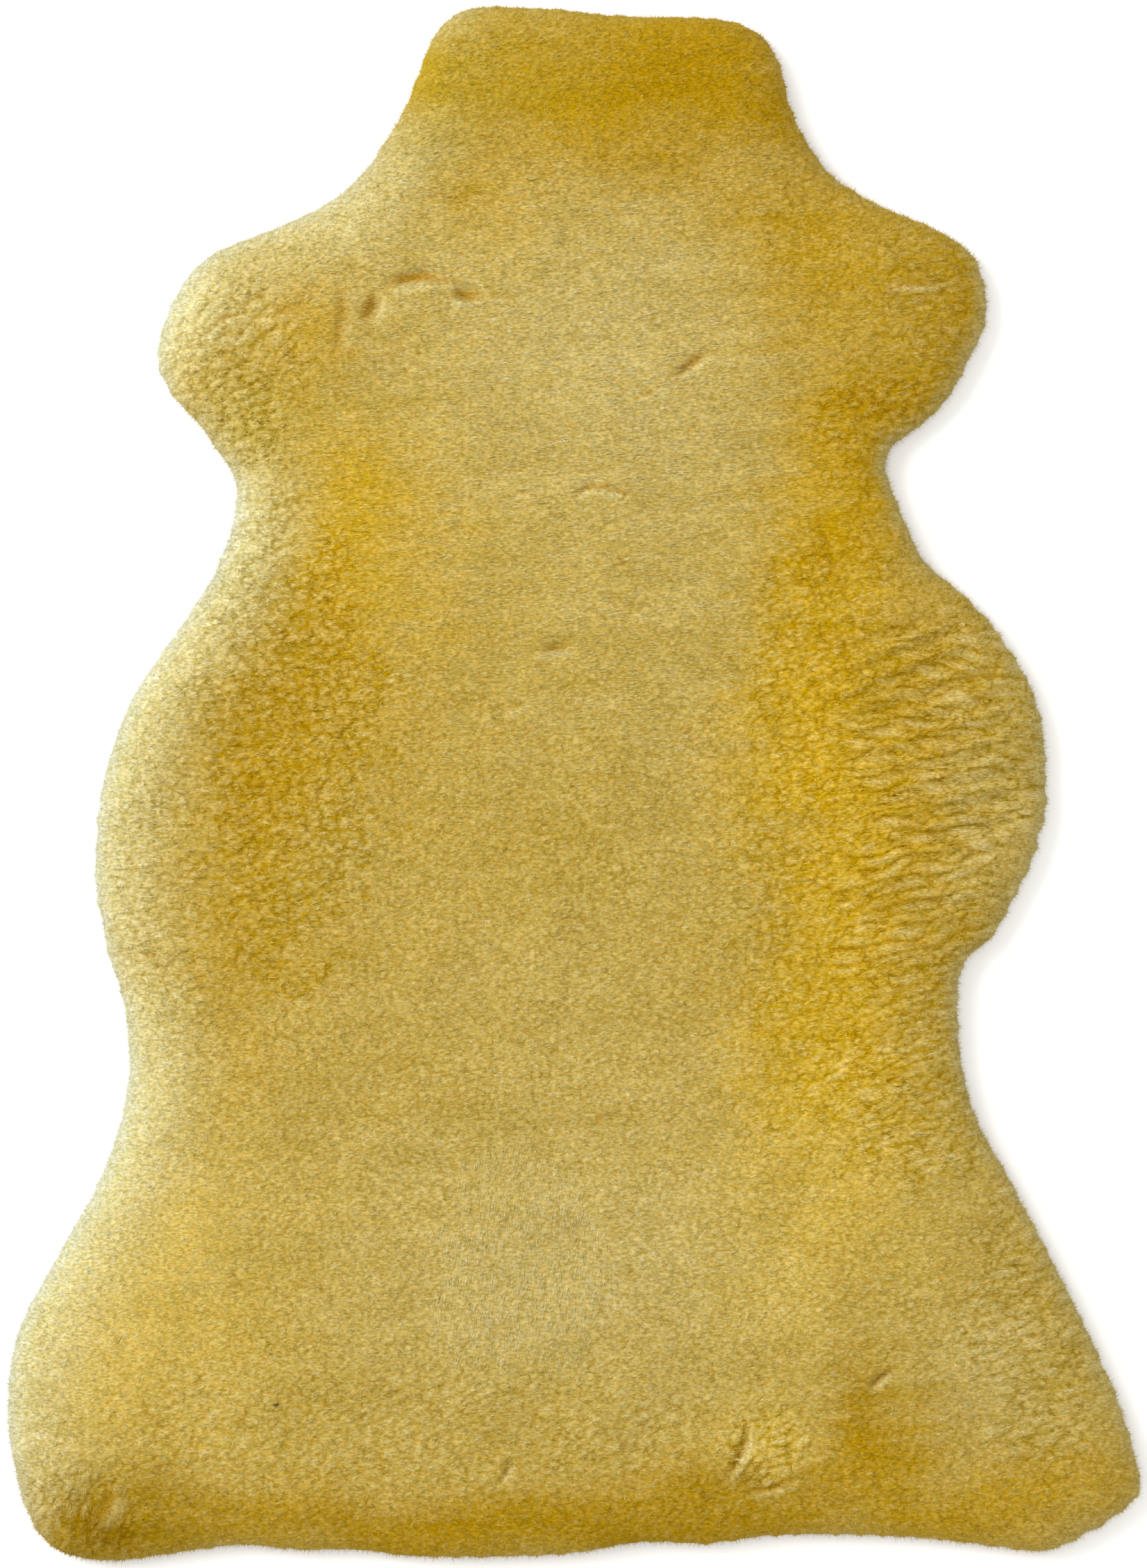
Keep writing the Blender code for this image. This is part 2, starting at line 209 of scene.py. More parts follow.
def cells(x, y, turn, run, pitch, seed):
    """The cell that each place belongs to, as a Cell of arrays.

    Cells are run long and pitch wide along a heading, and each row of them starts elsewhere, so that
    they never line up. The edge is 0 on the border with the next cell and grows towards the middle,
    edge_x and edge_y are its slope, and the side goes from -0.5 to 0.5 across the cell."""
    along, across = turned(x, y, 0, 0, turn)
    chance = np.random.default_rng(seed)
    sway = chance.uniform(-CELL_SWAY, CELL_SWAY, (2, NOISE_CELLS, NOISE_CELLS))
    start = chance.uniform(0.0, 1.0, NOISE_CELLS)
    first = np.full((4, len(x)), np.inf)
    second = first.copy()
    for row_step in (-1, 0, 1):
        row = np.floor(across / pitch).astype(int) + row_step
        offset = start[row % NOISE_CELLS]
        for column_step in (-1, 0, 1):
            column = np.floor(along / run - offset).astype(int) + column_step
            shift = sway[:, column % NOISE_CELLS, row % NOISE_CELLS]
            from_along = along - (column + 0.5 + offset + shift[0]) * run
            from_across = across - (row + 0.5 + shift[1]) * pitch
            gap = np.hypot(from_along / run, from_across / pitch) + TINY
            number = (column * CELL_STEPS[0] + row * CELL_STEPS[1]) % NOISE_CELLS ** 2
            found = np.stack((gap, from_along, from_across, number))
            nearer = gap < first[0]
            second = np.where(nearer, first, np.where(gap < second[0], found, second))
            first = np.where(nearer, found, first)
    slope_along = (second[1] / second[0] - first[1] / first[0]) / run ** 2
    slope_across = (second[2] / second[0] - first[2] / first[0]) / pitch ** 2
    middle_x, middle_y = turned(along - first[1], across - first[2], 0, 0, -turn)
    edge_x, edge_y = turned(slope_along, slope_across, 0, 0, -turn)
    number = first[3].astype(int)
    return Cell(middle_x, middle_y, second[0] - first[0], edge_x, edge_y, first[2] / pitch, number)


# %% [markdown]
# ## The underwool
# Under the tips, the wool is one springy mass that rolls over the edge of the skin. Its form is the
# CAD solid's, so a copy of that mesh is merged and remeshed into even squares of under three
# millimetres, small enough to carry the partings and few enough to export. Sculpting by hand would
# also do it.

# %% Underwool from the solid
VOXEL = 2.65 * MM
FUZZ = 1.6 * MM
FLAT_HEIGHT = 1.0 * MM
BOTTOM_LIMIT = 1.6 * MM
SOFTEN_FACTOR = 0.5


def remeshed_copy(node, voxel):
    """A bmesh of the node's mesh, merged and rebuilt in even squares."""
    shape = bmesh.new()
    shape.from_mesh(node.data)
    bmesh.ops.remove_doubles(shape, verts=shape.verts, dist=MERGE)
    piece = object_from_bmesh("remeshing", shape)
    remesh = piece.modifiers.new("even_squares", "REMESH")
    remesh.mode = "VOXEL"
    remesh.voxel_size = voxel
    bpy.context.view_layer.update()
    squares = piece.evaluated_get(bpy.context.evaluated_depsgraph_get()).to_mesh()
    shape = bmesh.new()
    shape.from_mesh(squares)
    bpy.data.objects.remove(piece)
    return shape


def soften(shape, verts, passes):
    """Draws corners of a shape towards their neighbours, again and again."""
    axes = {"use_axis_x": True, "use_axis_y": True, "use_axis_z": True}
    for _ in range(passes):
        bmesh.ops.smooth_vert(shape, verts=verts, factor=SOFTEN_FACTOR, **axes)


wool_shape = remeshed_copy(pelt, VOXEL)
bottom = [face for face in wool_shape.faces if max(v.co.z for v in face.verts) < BOTTOM_LIMIT]
bmesh.ops.delete(wool_shape, geom=bottom, context="FACES")
soften(wool_shape, wool_shape.verts, 1)
hide_line = [edge for edge in wool_shape.edges if edge.is_boundary]
for vert in {vert for edge in hide_line for vert in edge.verts}:
    vert.co.z = FLAT_HEIGHT
wool_shape.verts.index_update()
wool_shape.normal_update()
print("Underwool:", len(wool_shape.faces), "squares")

# %% [markdown]
# ## Where everything is on the skin
# Many things depend on how near the rim a place is and which way the rim faces there: the roll, the
# lean of the tips and the colour, which is painted paler where the rim faces the lamp and darker where
# it faces away, as painted highlight and painted shade. The rim is where the surface stands upright,
# so its points go into a search tree, and each place asks for the nearest one. The way that the rim
# faces is averaged over a stretch of it, so that its single locks don't show as bands in the colours.

# %% Distance to the rim
UPRIGHT = 0.25
HEADING_REACH = 16.0 * MM


def points_and_normals(shape):
    """Two arrays, the places of a bmesh's corners and their normals."""
    places = np.array([vert.co[:] for vert in shape.verts])
    normals = np.array([vert.normal[:] for vert in shape.verts])
    return places, normals


def rim_facts(places, normals):
    """How far in plan each place is from the rim, and which way the rim faces there, broadly."""
    rim = np.flatnonzero(np.abs(normals[:, 2]) < UPRIGHT)
    tree = KDTree(len(rim))
    for index in rim:
        tree.insert((places[index, 0], places[index, 1], 0.0), int(index))
    tree.balance()
    nearest = [tree.find((x, y, 0.0))[1:] for x, y in places[:, :2]]
    distance = np.array([found[1] for found in nearest])
    broad = np.zeros((len(places), 2))
    for index in rim:
        around = tree.find_range((places[index, 0], places[index, 1], 0.0), HEADING_REACH)
        broad[index] = normals[[found[1] for found in around], :2].mean(axis=0)
    heading = broad[[found[0] for found in nearest]]
    heading = heading / np.linalg.norm(heading, axis=1, keepdims=True)
    return distance, heading


places, normals = points_and_normals(wool_shape)
rim_distance, rim_heading = rim_facts(places, normals)
print("Deepest place:", round(rim_distance.max() / MM), "mm from the rim")

# %% [markdown]
# ## Partings and dents
# Wool is never level. Where the skin was folded it parts in short slits with a lifted lip, and where
# something pressed on it there are dents. Each one that the photograph shows has a row in a table, in
# millimetres from the middle of the rug. A row gives a groove along a heading, bowed where the real
# one is and steeper on its upper side, and the lip on its lower one.

# %% Partings and dents
# The last column says how strongly each groove is painted darker, as painted shade. Its lip is painted paler,
# as a painted highlight.
Parting = namedtuple("Parting", "place x y half_length half_width turn bow depth lip stain")
PARTINGS = (
    Parting("shoulder, long", -96, 306, 14, 3.6, 7, -1.0, 1.1, 1.0, 1.0),
    Parting("shoulder, tail", -78, 303, 9, 1.6, -8, 0, 0.6, 0.8, 0.6),
    Parting("shoulder, left", -123, 288, 8, 4.4, 66, 1.5, 1.1, 0.9, 0.9),
    Parting("shoulder, right", -66, 295, 7, 3.2, -12, 1.5, 1.1, 1.1, 1.0),
    Parting("shoulder, small", -46, 283, 4, 1.6, 0, 0, 0.8, 0.8, 0.5),
    Parting("diagonal slit", 71, 254, 12, 2.3, 36, 1.0, 1.0, 0.8, 1.0),
    Parting("slit's tail", 48, 238, 13, 1.3, 30, 0, 0.6, 0.5, 0.45),
    Parting("pinch of the back", 14, 180, 12, 2.1, 0, -5.0, 1.0, 1.4, 0.8),
    Parting("pinch, right end", 29, 176, 4, 1.5, -40, 0, 0.9, 1.2, 0.8),
    Parting("beside the pinch", -32, 176, 7, 1.4, 8, -2.0, 0.6, 0.7, 0.5),
    Parting("small hole", 28, 133, 3, 1.6, 0, 0, 0.9, 0.4, 0.85),
    Parting("middle of the back", -11, 82, 9, 2.2, 6, 2.0, 1.0, 1.2, 0.65),
    Parting("lower back", -35, 47, 8, 1.8, 20, 0, 0.7, 0.8, 0.2),
    Parting("fold of the shoulder", -141, 279, 20, 3.4, 84, 2.0, 1.3, 0.4, 0.6),
    Parting("lobe, dark hollow", -172, 287, 9, 4.4, 14, 2.0, 0.9, 0.2, 0.5),
    Parting("left lobe, outer", -212, 281, 9, 1.8, 30, -2.0, 1.8, 1.2, 0.6),
    Parting("left lobe, inner", -201, 271, 8, 1.6, 60, 2.0, 1.7, 1.1, 0.6),
    Parting("left lobe, low", -229, 264, 9, 1.6, 10, 1.5, 1.6, 1.0, 0.5),
    Parting("right lobe groove", 208, 302, 17, 1.8, 3, 1.5, 1.6, 0.9, 0.6),
    Parting("right hind slit", 185, -358, 8, 1.8, 40, 0, 2.4, 1.4, 0.8),
    Parting("beside the pale clump", 100, -404, 17, 2.2, 66, 3.0, 2.6, 1.4, 0.8),
    Parting("under the pale clump", 120, -424, 14, 2.0, 14, 2.0, 2.0, 0.8, 0.7),
    Parting("hind crease", -41, -415, 8, 1.6, 62, 1.5, 2.0, 1.0, 0.7),
    Parting("left flank spot", -255, -103, 4, 2.4, 20, 0, 1.4, 0.4, 0.8),
    Parting("left hind corner", -283, -436, 11, 4.0, 60, 2.0, 2.0, 0.6, 0.7),
)
LIP_OFFSET = 1.9
LIP_WIDTH = 0.95
STEEP_SIDE = 1.8
MARK_REACH = 1.5
FULL_LIP = 1.4


def parting_marks(x, y):
    """The partings' height in millimetres, how far each place is in a groove, scaled by how strongly its
    painted shade shows, and how far it is on a lip, which gets a painted highlight.
    """
    height, groove, lip = np.zeros(len(x)), np.zeros(len(x)), np.zeros(len(x))
    for row in PARTINGS:
        reach = row.half_length + abs(row.bow) + 4 * row.half_width
        near = np.flatnonzero(np.hypot(x - row.x, y - row.y) < MARK_REACH * reach)
        along, across = turned(x[near], y[near], row.x, row.y, row.turn)
        share = along / row.half_length
        across = (across - row.bow * share ** 2) / row.half_width
        across = np.where(across > 0, STEEP_SIDE * across, across)
        ends = np.exp(-share ** 4)
        grooved = ends * np.exp(-across ** 2)
        lipped = ends * np.exp(-(((across + LIP_OFFSET) / LIP_WIDTH) ** 2))
        height[near] += row.lip * lipped - row.depth * grooved
        # The groove share carries the strength of the painted shade, and the lip share that of the painted
        # highlight.
        groove[near] = np.maximum(groove[near], grooved * row.stain)
        lip[near] = np.maximum(lip[near], lipped * min(1.0, row.lip / FULL_LIP))
    return height, groove, lip


# %% [markdown]
# ## Locks
# The tips of clipped wool gather in small locks with thin partings round them. On the back they are
# hardly longer than wide, on the upper back they are drawn out in fine lines, and on the belly and
# the thighs, where the wool is longer, they stand in ridges. A table says where each kind grows, and
# a field of cells gives every place its lock.

# %% Locks
# The tone column sets how strongly partings are painted dark and crests pale, as painted shade and highlight.
LockField = namedtuple("LockField", "place x y half_width half_height turn pitch run height saw tone")
LOCK_FIELDS = (
    LockField("whole back", 0, 0, 900, 900, 10, 4.4, 7.0, 0.34, 0.1, 0.57),
    LockField("upper back", -10, 220, 170, 190, 2, 3.2, 24, 0.17, 0.1, 0.40),
    LockField("rump ripples", -34, -300, 50, 84, 78, 4.6, 26, 0.30, 0, 0.42),
    LockField("right flank", 150, -30, 50, 190, 8, 4.2, 9, 0.5, 0.3, 0.85),
    LockField("right hip", 212, -170, 50, 70, 10, 5.0, 16, 0.8, 0.4, 1.1),
    LockField("neck", 20, 425, 120, 45, 18, 4.2, 8, 0.30, 0.1, 0.36),
    LockField("left thigh", -262, -300, 60, 110, 20, 4.6, 8, 0.28, 0.1, 0.32),
    LockField("left flank", -175, 30, 62, 140, 2, 4.0, 9, 0.65, 0.3, 1.1),
    LockField("left belly", -250, -70, 40, 92, -6, 5.0, 11, 0.8, 0.3, 0.78),
    LockField("left lobe, puffs", -206, 268, 46, 34, 30, 8.0, 12, 1.9, 0.4, 0.95),
    LockField("left shoulder", -214, 214, 40, 34, 14, 5.6, 11, 2.1, 0.6, 1.0),
    LockField("right foreleg", 232, 290, 46, 74, 6, 4.6, 13, 0.7, 0.3, 0.7),
    LockField("right foreleg, low", 190, 222, 48, 24, 10, 4.8, 12, 1.2, 0.4, 0.9),
    LockField("right belly, rim", 268, 60, 36, 70, -8, 6.2, 32, 1.1, 0.6, 1.25),
    LockField("right belly", 222, 14, 58, 88, -3, 6.8, 34, 1.4, 0.7, 1.25),
    LockField("right belly, low", 206, -78, 56, 52, 12, 6.6, 30, 1.35, 0.7, 1.2),
    LockField("right thigh", 288, -320, 52, 90, 16, 6.4, 22, 1.0, 0.5, 0.9),
    LockField("hind clumps", -95, -388, 200, 36, 20, 5.6, 11, 0.7, 0.3, 0.7),
    LockField("pale clump", 117, -402, 26, 22, 22, 6.4, 12, 1.6, 0.4, 1.3),
    LockField("left hind corner", -300, -440, 40, 30, 60, 5.6, 14, 1.2, 0.3, 0.9),
)
FIELD_SEED = 50
BORDER_SWAY = 0.35
BORDER_LUMP = 12
FIELD_FALL = 0.7
FIELD_GAIN = 1.4
LOT_RISE = 0.35
LOCK_BEND = 0.6
EDGE_SPAN = 0.28
DOME_LEVEL = 0.62


def field_share(x, y, row):
    """How strongly a lock field acts, 1 in its middle and 0 outside it."""
    squared = ((x - row.x) / row.half_width) ** 2 + ((y - row.y) / row.half_height) ** 2
    return np.exp(-FIELD_FALL * squared ** 2)


def locks(x, y):
    """The lock that each place in millimetres belongs to, as a dictionary of arrays.

    middle is the lock's own middle, edge how far in from its border the place is as a share, border
    how far in millimetres, height the place's own height, slope_x and slope_y how steeply that grows,
    tone how strongly the lock's partings are painted dark and its crests pale, as painted shade and
    highlight, lot a number from -1 to 1 that differs from lock to lock, turn the lock's heading, and
    round its width over its length."""
    names = "middle_x middle_y edge border height slope_x slope_y tone lot turn round".split()
    found = {name: np.zeros(len(x)) for name in names}
    for number, row in enumerate(LOCK_FIELDS):
        seed = FIELD_SEED + 3 * number
        share = field_share(x, y, row)
        here = np.flatnonzero(share + BORDER_SWAY * soft_noise(x, y, BORDER_LUMP, seed + 2) > 0.5)
        bend_x = LOCK_BEND * row.pitch * soft_noise(x[here], y[here], BEND_SIZE * row.pitch, seed)
        bend_y = LOCK_BEND * row.pitch * soft_noise(x[here], y[here], BEND_SIZE * row.pitch, seed + 1)
        cell = cells(x[here] + bend_x, y[here] + bend_y, row.turn, row.run, row.pitch, seed)
        lot = np.random.default_rng(seed).uniform(-1, 1, NOISE_CELLS ** 2)[cell.number]
        rise = row.height * np.clip(FIELD_GAIN * share[here], 0, 1) * (1 + LOT_RISE * lot)
        valley = np.exp(-cell.edge / EDGE_SPAN)
        height = rise * (1 - valley - DOME_LEVEL - row.saw * cell.side)
        saw_x, saw_y = turned(0, rise * row.saw / row.pitch, 0, 0, -row.turn)
        slope_x = rise * valley / EDGE_SPAN * cell.edge_x - saw_x
        slope_y = rise * valley / EDGE_SPAN * cell.edge_y - saw_y
        middle_x, middle_y = cell.middle_x - bend_x, cell.middle_y - bend_y
        border = cell.edge / np.maximum(np.hypot(cell.edge_x, cell.edge_y), TINY)
        values = (middle_x, middle_y, cell.edge, border, height, slope_x, slope_y, row.tone, lot, row.turn)
        for name, value in zip(names, (*values, row.pitch / row.run)):
            found[name][here] = value
    return found


# %% [markdown]
# ## Shaping the underwool
# The locks, the partings and a few broad lumps are added to the smooth squares along their own
# normals. The lock ends of the solid's rim are smoothed first, and a wider band along the left side,
# because real wool is so fine that its edge looks soft. The relief is kept low at the rim, where the
# wool only rolls over.

# %% Shape of the underwool
Lump = namedtuple("Lump", "size height seed")
LUMPS = (Lump(34, 0.5, 31), Lump(14, 0.2, 33))
ROLL_CALM = 14.0
RIM_BAND = 16.0 * MM
RIM_PASSES = 7
LEFT_EDGE = -120 * MM
LEFT_BAND = 70.0 * MM
LEFT_PASSES = 10
SLOPE_STEP = 0.4
LEAST_RELIEF = 0.35


def lump_height(x, y, lump):
    """Soft noise of the lump's own size and height."""
    return lump.height * soft_noise(x, y, lump.size, lump.seed)


def rim_calm(distance, least):
    """A share that grows from the least at the rim to 1 at some way from it."""
    return np.clip(distance / ROLL_CALM, least, 1.0)


def relief(x, y, found, distance, upwards):
    """The height in millimetres that is added to the smooth wool at each place."""
    height = (found["height"] + parting_marks(x, y)[0]) * rim_calm(distance, LEAST_RELIEF)
    height = height + sum(lump_height(x, y, lump) for lump in LUMPS)
    return height * (LEAST_RELIEF + (1 - LEAST_RELIEF) * upwards)


def marks_slope(x, y):
    """How steeply the partings and the lumps grow along X and along Y."""
    def height(at_x, at_y):
        return parting_marks(at_x, at_y)[0] + sum(lump_height(at_x, at_y, lump) for lump in LUMPS)
    level_height = height(x, y)
    slope_x = (height(x + SLOPE_STEP, y) - level_height) / SLOPE_STEP
    slope_y = (height(x, y + SLOPE_STEP) - level_height) / SLOPE_STEP
    return slope_x, slope_y


free = [(vert, away) for vert, away in zip(wool_shape.verts, rim_distance) if not vert.is_boundary]
soften(wool_shape, [vert for vert, away in free if away < RIM_BAND], RIM_PASSES)
soften(wool_shape, [vert for vert, away in free if away < LEFT_BAND and vert.co.x < LEFT_EDGE], LEFT_PASSES)
wool_shape.normal_update()
smooth_places, smooth_normals = points_and_normals(wool_shape)
facing_up = np.clip(smooth_normals[:, 2], 0.0, 1.0)
smooth_places[:, 2] = np.maximum(smooth_places[:, 2], FLAT_HEIGHT)
at_hide = smooth_places[:, 2] < FLAT_HEIGHT + MERGE
smooth_places = np.where(at_hide[:, None], smooth_places, smooth_places - FUZZ * smooth_normals)
plan_x, plan_y = smooth_places[:, 0] / MM, smooth_places[:, 1] / MM
wool_locks = locks(plan_x, plan_y)
wool_relief = relief(plan_x, plan_y, wool_locks, rim_distance / MM, facing_up)
wool_relief[at_hide] = 0.0
places = smooth_places + smooth_normals * wool_relief[:, None] * MM
places[:, 2] = np.maximum(places[:, 2], FLAT_HEIGHT)
for vert, place in zip(wool_shape.verts, places):
    vert.co = place
wool_shape.normal_update()
squares = np.array([[vert.index for vert in face.verts] for face in wool_shape.faces])
print("Relief from", round(float(wool_relief.min()), 1), "to", round(float(wool_relief.max()), 1), "mm")

# %% [markdown]
# ## The colour of the wool, with painted light and shade
# The dyeing left the skin honey yellow, with ochre at the neck, straw on the rump and gold along both
# flanks. Light and shade are painted on it too: ochre along the tail edge and olive down the right
# rim as painted shade, and cream where the left rim catches the light as a painted highlight. One plain
# yellow would look like plush. A small palette is laid on in soft oval patches, as a dyer would
# sponge it, and the partings are painted deeper than the crests, as painted shade and highlight.

# %% Palette and patches
PALETTE = {
    "honey": (204, 180, 104),
    "gold": (199, 163, 44),
    "amber": (218, 181, 50),
    "ochre": (184, 148, 14),
    "straw": (212, 194, 134),
    "cream": (230, 224, 180),
    "ivory": (206, 214, 212),
    "lemon": (226, 200, 112),
    "olive": (200, 188, 138),
    "moss": (186, 160, 52),
    "sun": (228, 190, 56),
    "umber": (180, 136, 8),
    "brown": (154, 124, 8),
}

Patch = namedtuple("Patch", "place colour x y half_width half_height turn strength")
PATCHES = (
    Patch("back, upper", "straw", 20, 255, 130, 115, 0, 0.85),
    Patch("back, middle", "honey", -10, 60, 100, 90, 0, 0.75),
    Patch("back, right of the middle", "straw", 60, 30, 60, 120, 0, 0.25),
    Patch("lower back", "straw", -10, -150, 90, 70, 0, 0.35),
    Patch("rump", "straw", 20, -285, 180, 76, 4, 0.95),
    Patch("left shoulder", "gold", -70, 357, 46, 26, 10, 0.6),
    Patch("left lobe", "gold", -152, 288, 22, 40, 0, 0.65),
    Patch("right shoulder", "gold", 150, 318, 60, 66, 0, 0.78),
    Patch("right foreleg", "ochre", 236, 290, 44, 70, 0, 0.7),
    Patch("right foreleg, low", "ochre", 190, 222, 56, 28, 8, 0.8),
    # Moss on the low left foreleg is painted shade, under the puffs of the lobe.
    Patch("left foreleg, low", "moss", -190, 218, 48, 36, 10, 0.95),
    Patch("left waist", "amber", -140, 150, 52, 64, 0, 0.85),
    Patch("right waist", "gold", 160, 160, 42, 70, 0, 1.0),
    Patch("left flank", "gold", -166, 66, 60, 80, 4, 0.55),
    Patch("left flank, low", "gold", -190, -10, 40, 66, 8, 0.65),
    Patch("left belly", "gold", -200, -110, 30, 60, 0, 0.4),
    Patch("right flank", "sun", 156, 10, 42, 140, 4, 0.8),
    Patch("right hip", "gold", 196, -110, 40, 60, 0, 0.3),
    Patch("right belly", "gold", 220, 10, 44, 110, 0, 0.6),
    Patch("right belly, rim", "straw", 262, -20, 26, 60, 0, 0.3),
    Patch("left thigh", "lemon", -262, -300, 70, 110, 0, 0.9),
    Patch("right band, low", "sun", 150, -170, 44, 110, 4, 0.7),
    Patch("right hip, pale", "lemon", 140, -250, 60, 80, 0, 0.7),
    Patch("right thigh", "honey", 250, -300, 50, 60, 0, 0.6),
    Patch("right hind, pale", "straw", 250, -361, 36, 42, 0, 0.7),
    Patch("right hind hollow", "ochre", 186, -406, 46, 26, 20, 0.75),
    Patch("right hind crease", "ochre", 172, -384, 34, 15, 62, 0.9),
    Patch("pale clump", "lemon", 117, -402, 28, 28, 0, 0.9),
    Patch("pale fold of the neck", "straw", 118, 379, 22, 11, 0, 0.5),
    Patch("shoulder smudge", "ochre", -73, 355, 9, 7, 0, 0.7),
)
RIM_PATCHES = (
    Patch("neck", "ochre", 60, 424, 124, 55, -4, 1.0),
    Patch("neck, left", "moss", -96, 436, 84, 50, 10, 1.0),
    Patch("neck, middle", "gold", -10, 412, 46, 34, 0, 0.6),
    # The ochre and gold along the tail edge are painted shade, where the rim turns away from the light.
    Patch("tail edge, left", "ochre", -110, -446, 200, 24, 0, 0.8),
    Patch("tail edge, right", "ochre", 80, -444, 140, 24, 0, 0.7),
    Patch("tail edge, far right", "gold", 250, -432, 80, 22, 0, 0.7),
    Patch("left hind corner", "brown", -292, -450, 56, 27, 10, 1.0),
)

# Painted highlight where the rim faces the lamp on the left, cream and at its very edge ivory, and painted
# shade, olive, where it faces away on the right.
RimPaintedLight = namedtuple("RimPaintedLight", "colour facing reach strength")
RIM_PAINTED_LIGHT = (
    RimPaintedLight("cream", 158, 40, 1.0),
    RimPaintedLight("ivory", 160, 10, 0.65),
    RimPaintedLight("olive", -10, 8, 0.8),
)
PAINTED_LIGHT_LOBE = 1.4
PAINTED_LIGHT_FALL = 2.2
Wave = namedtuple("Wave", "height turn run pitch seed")
WANDER_X = Lump(46, 17, 71)
WANDER_Y = Lump(46, 17, 73)
WANDER_WAVE = Wave(14, 3, 45, 5, 79)
STREAKS = Wave(0.04, 3, 60, 7, 75)
MOTTLING = Lump(26, 0.02, 77)
# Partings between locks are painted deeper and more ochre, as painted shade, and crests paler and more straw,
# as a painted highlight.
PARTED_WIDTH = 0.8
PARTED_SHADE_OCHRE = 0.2
STRAW_START = 0.5
# Grooves are painted umber, as painted shade, and lips cream, as a painted highlight.
GROOVE_SHADE_UMBER = 0.95
LIP_HIGHLIGHT_CREAM = 0.6
CREST_START = 0.45
CREST_SPAN = 0.4
CREST_HIGHLIGHT = 0.16
PARTED_SHADE_DARK = 0.22
CREST_HIGHLIGHT_STRAW = 0.3
LOT_LIGHT = 0.04
PALE_LIGHT = np.array((1.0, 0.96, 0.8))
PALE_SHARE = 0.95
DYE_DEPTH = 0.785


def linear(shade):
    """A palette colour, 0 to 255 as on a screen, as linear light."""
    return np.array(Color([value / 255 for value in shade]).from_srgb_to_scene_linear())


COLOURS = {name: linear(shade) * DYE_DEPTH for name, shade in PALETTE.items()}


def mixed(colours, name, share):
    """The colours moved towards a palette colour by a share at each place."""
    return colours + (COLOURS[name] - colours) * share[:, None]


def lightened(colours, amount):
    """The colours made lighter and paler by an amount at each place, or deeper where it is negative.

    Lit wool gives off some plain light besides the coloured light of its fibres."""
    pale = colours[:, :1] * PALE_LIGHT
    amount = amount[:, None]
    return np.maximum(colours * (1 + (1 - PALE_SHARE) * amount) + PALE_SHARE * amount * pale, 0)


def wave_height(x, y, wave):
    """Wave noise of the wave's own heading, size and height."""
    return wave.height * wave_noise(x, y, wave.turn, wave.run, wave.pitch, wave.seed)


def patch_colours(x, y, distance, heading):
    """The colours of the patches, and the painted highlight and shade of the rim, at places in millimetres.
    """
    colours = np.tile(COLOURS["honey"], (len(x), 1))
    wander_x = x + lump_height(x, y, WANDER_X) + wave_height(x, y, WANDER_WAVE)
    wander_y = y + lump_height(x, y, WANDER_Y)

    def dab(colours, row):
        along, across = turned(wander_x, wander_y, row.x, row.y, row.turn)
        squared = (along / row.half_width) ** 2 + (across / row.half_height) ** 2
        return mixed(colours, row.colour, row.strength * np.exp(-squared))

    for row in PATCHES:
        colours = dab(colours, row)
    # Painted light and shade by the way that the rim faces.
    for rim_light in RIM_PAINTED_LIGHT:
        facing = math.radians(rim_light.facing)
        towards = heading[:, 0] * math.cos(facing) + heading[:, 1] * math.sin(facing)
        lobe = np.clip(1 + PAINTED_LIGHT_LOBE * (towards - 1), 0, 1)
        nearness = np.exp(-((distance / rim_light.reach) ** PAINTED_LIGHT_FALL))
        colours = mixed(colours, rim_light.colour, rim_light.strength * nearness * lobe)
    for row in RIM_PATCHES:
        colours = dab(colours, row)
    return lightened(colours, wave_height(x, y, STREAKS) + lump_height(x, y, MOTTLING))


def lock_colours(colours, found, groove, lip):
    """The same colours with painted shade, deeper in the partings and the grooves, and a painted highlight,
    paler on the crests and the lips.
    """
    parted = np.exp(-((found["border"] / PARTED_WIDTH) ** 2))
    crest = np.clip((found["edge"] - CREST_START) / CREST_SPAN, 0, 1)
    tone = found["tone"]
    # Painted shade in the partings, a painted highlight on the crests, and a little lightness that differs
    # from lock to lock at random.
    colours = mixed(colours, "ochre", PARTED_SHADE_OCHRE * np.clip(tone, 0, 1) * parted)
    lift = CREST_HIGHLIGHT * crest - PARTED_SHADE_DARK * parted + LOT_LIGHT * found["lot"]
    colours = lightened(colours, tone * lift)
    colours = mixed(colours, "straw", CREST_HIGHLIGHT_STRAW * np.clip(tone - STRAW_START, 0, 1) * crest)
    # Painted shade in the grooves and a painted highlight on the lips.
    colours = mixed(colours, "umber", GROOVE_SHADE_UMBER * groove)
    return mixed(colours, "cream", LIP_HIGHLIGHT_CREAM * lip)


patch_dye_and_light = patch_colours(plan_x, plan_y, rim_distance / MM, rim_heading)
dye_and_painted_light = lock_colours(patch_dye_and_light, wool_locks, *parting_marks(plan_x, plan_y)[1:])
print("Mean dye:", np.round(dye_and_painted_light.mean(axis=0), 3))

# %% [markdown]
# ## The underwool's own piece
# The sculpted squares become the piece `fleece`. Its open bottom is closed with one flat face on
# the hide, cut into triangles. Its colour, with the painted light and shade in it, is stored on its
# corners as an attribute, which needs no picture and follows the shape. Two more say how near the
# tip a corner is and how much it parts, which sets how dark its thinnest partings are painted.

# %% Fleece
# The underwool is coloured near its root tone, as painted shade under the tips.
ROOT_RISE = 0.25
PARTS_LIMIT = 0.85
LEAST_PARTS = 0.25


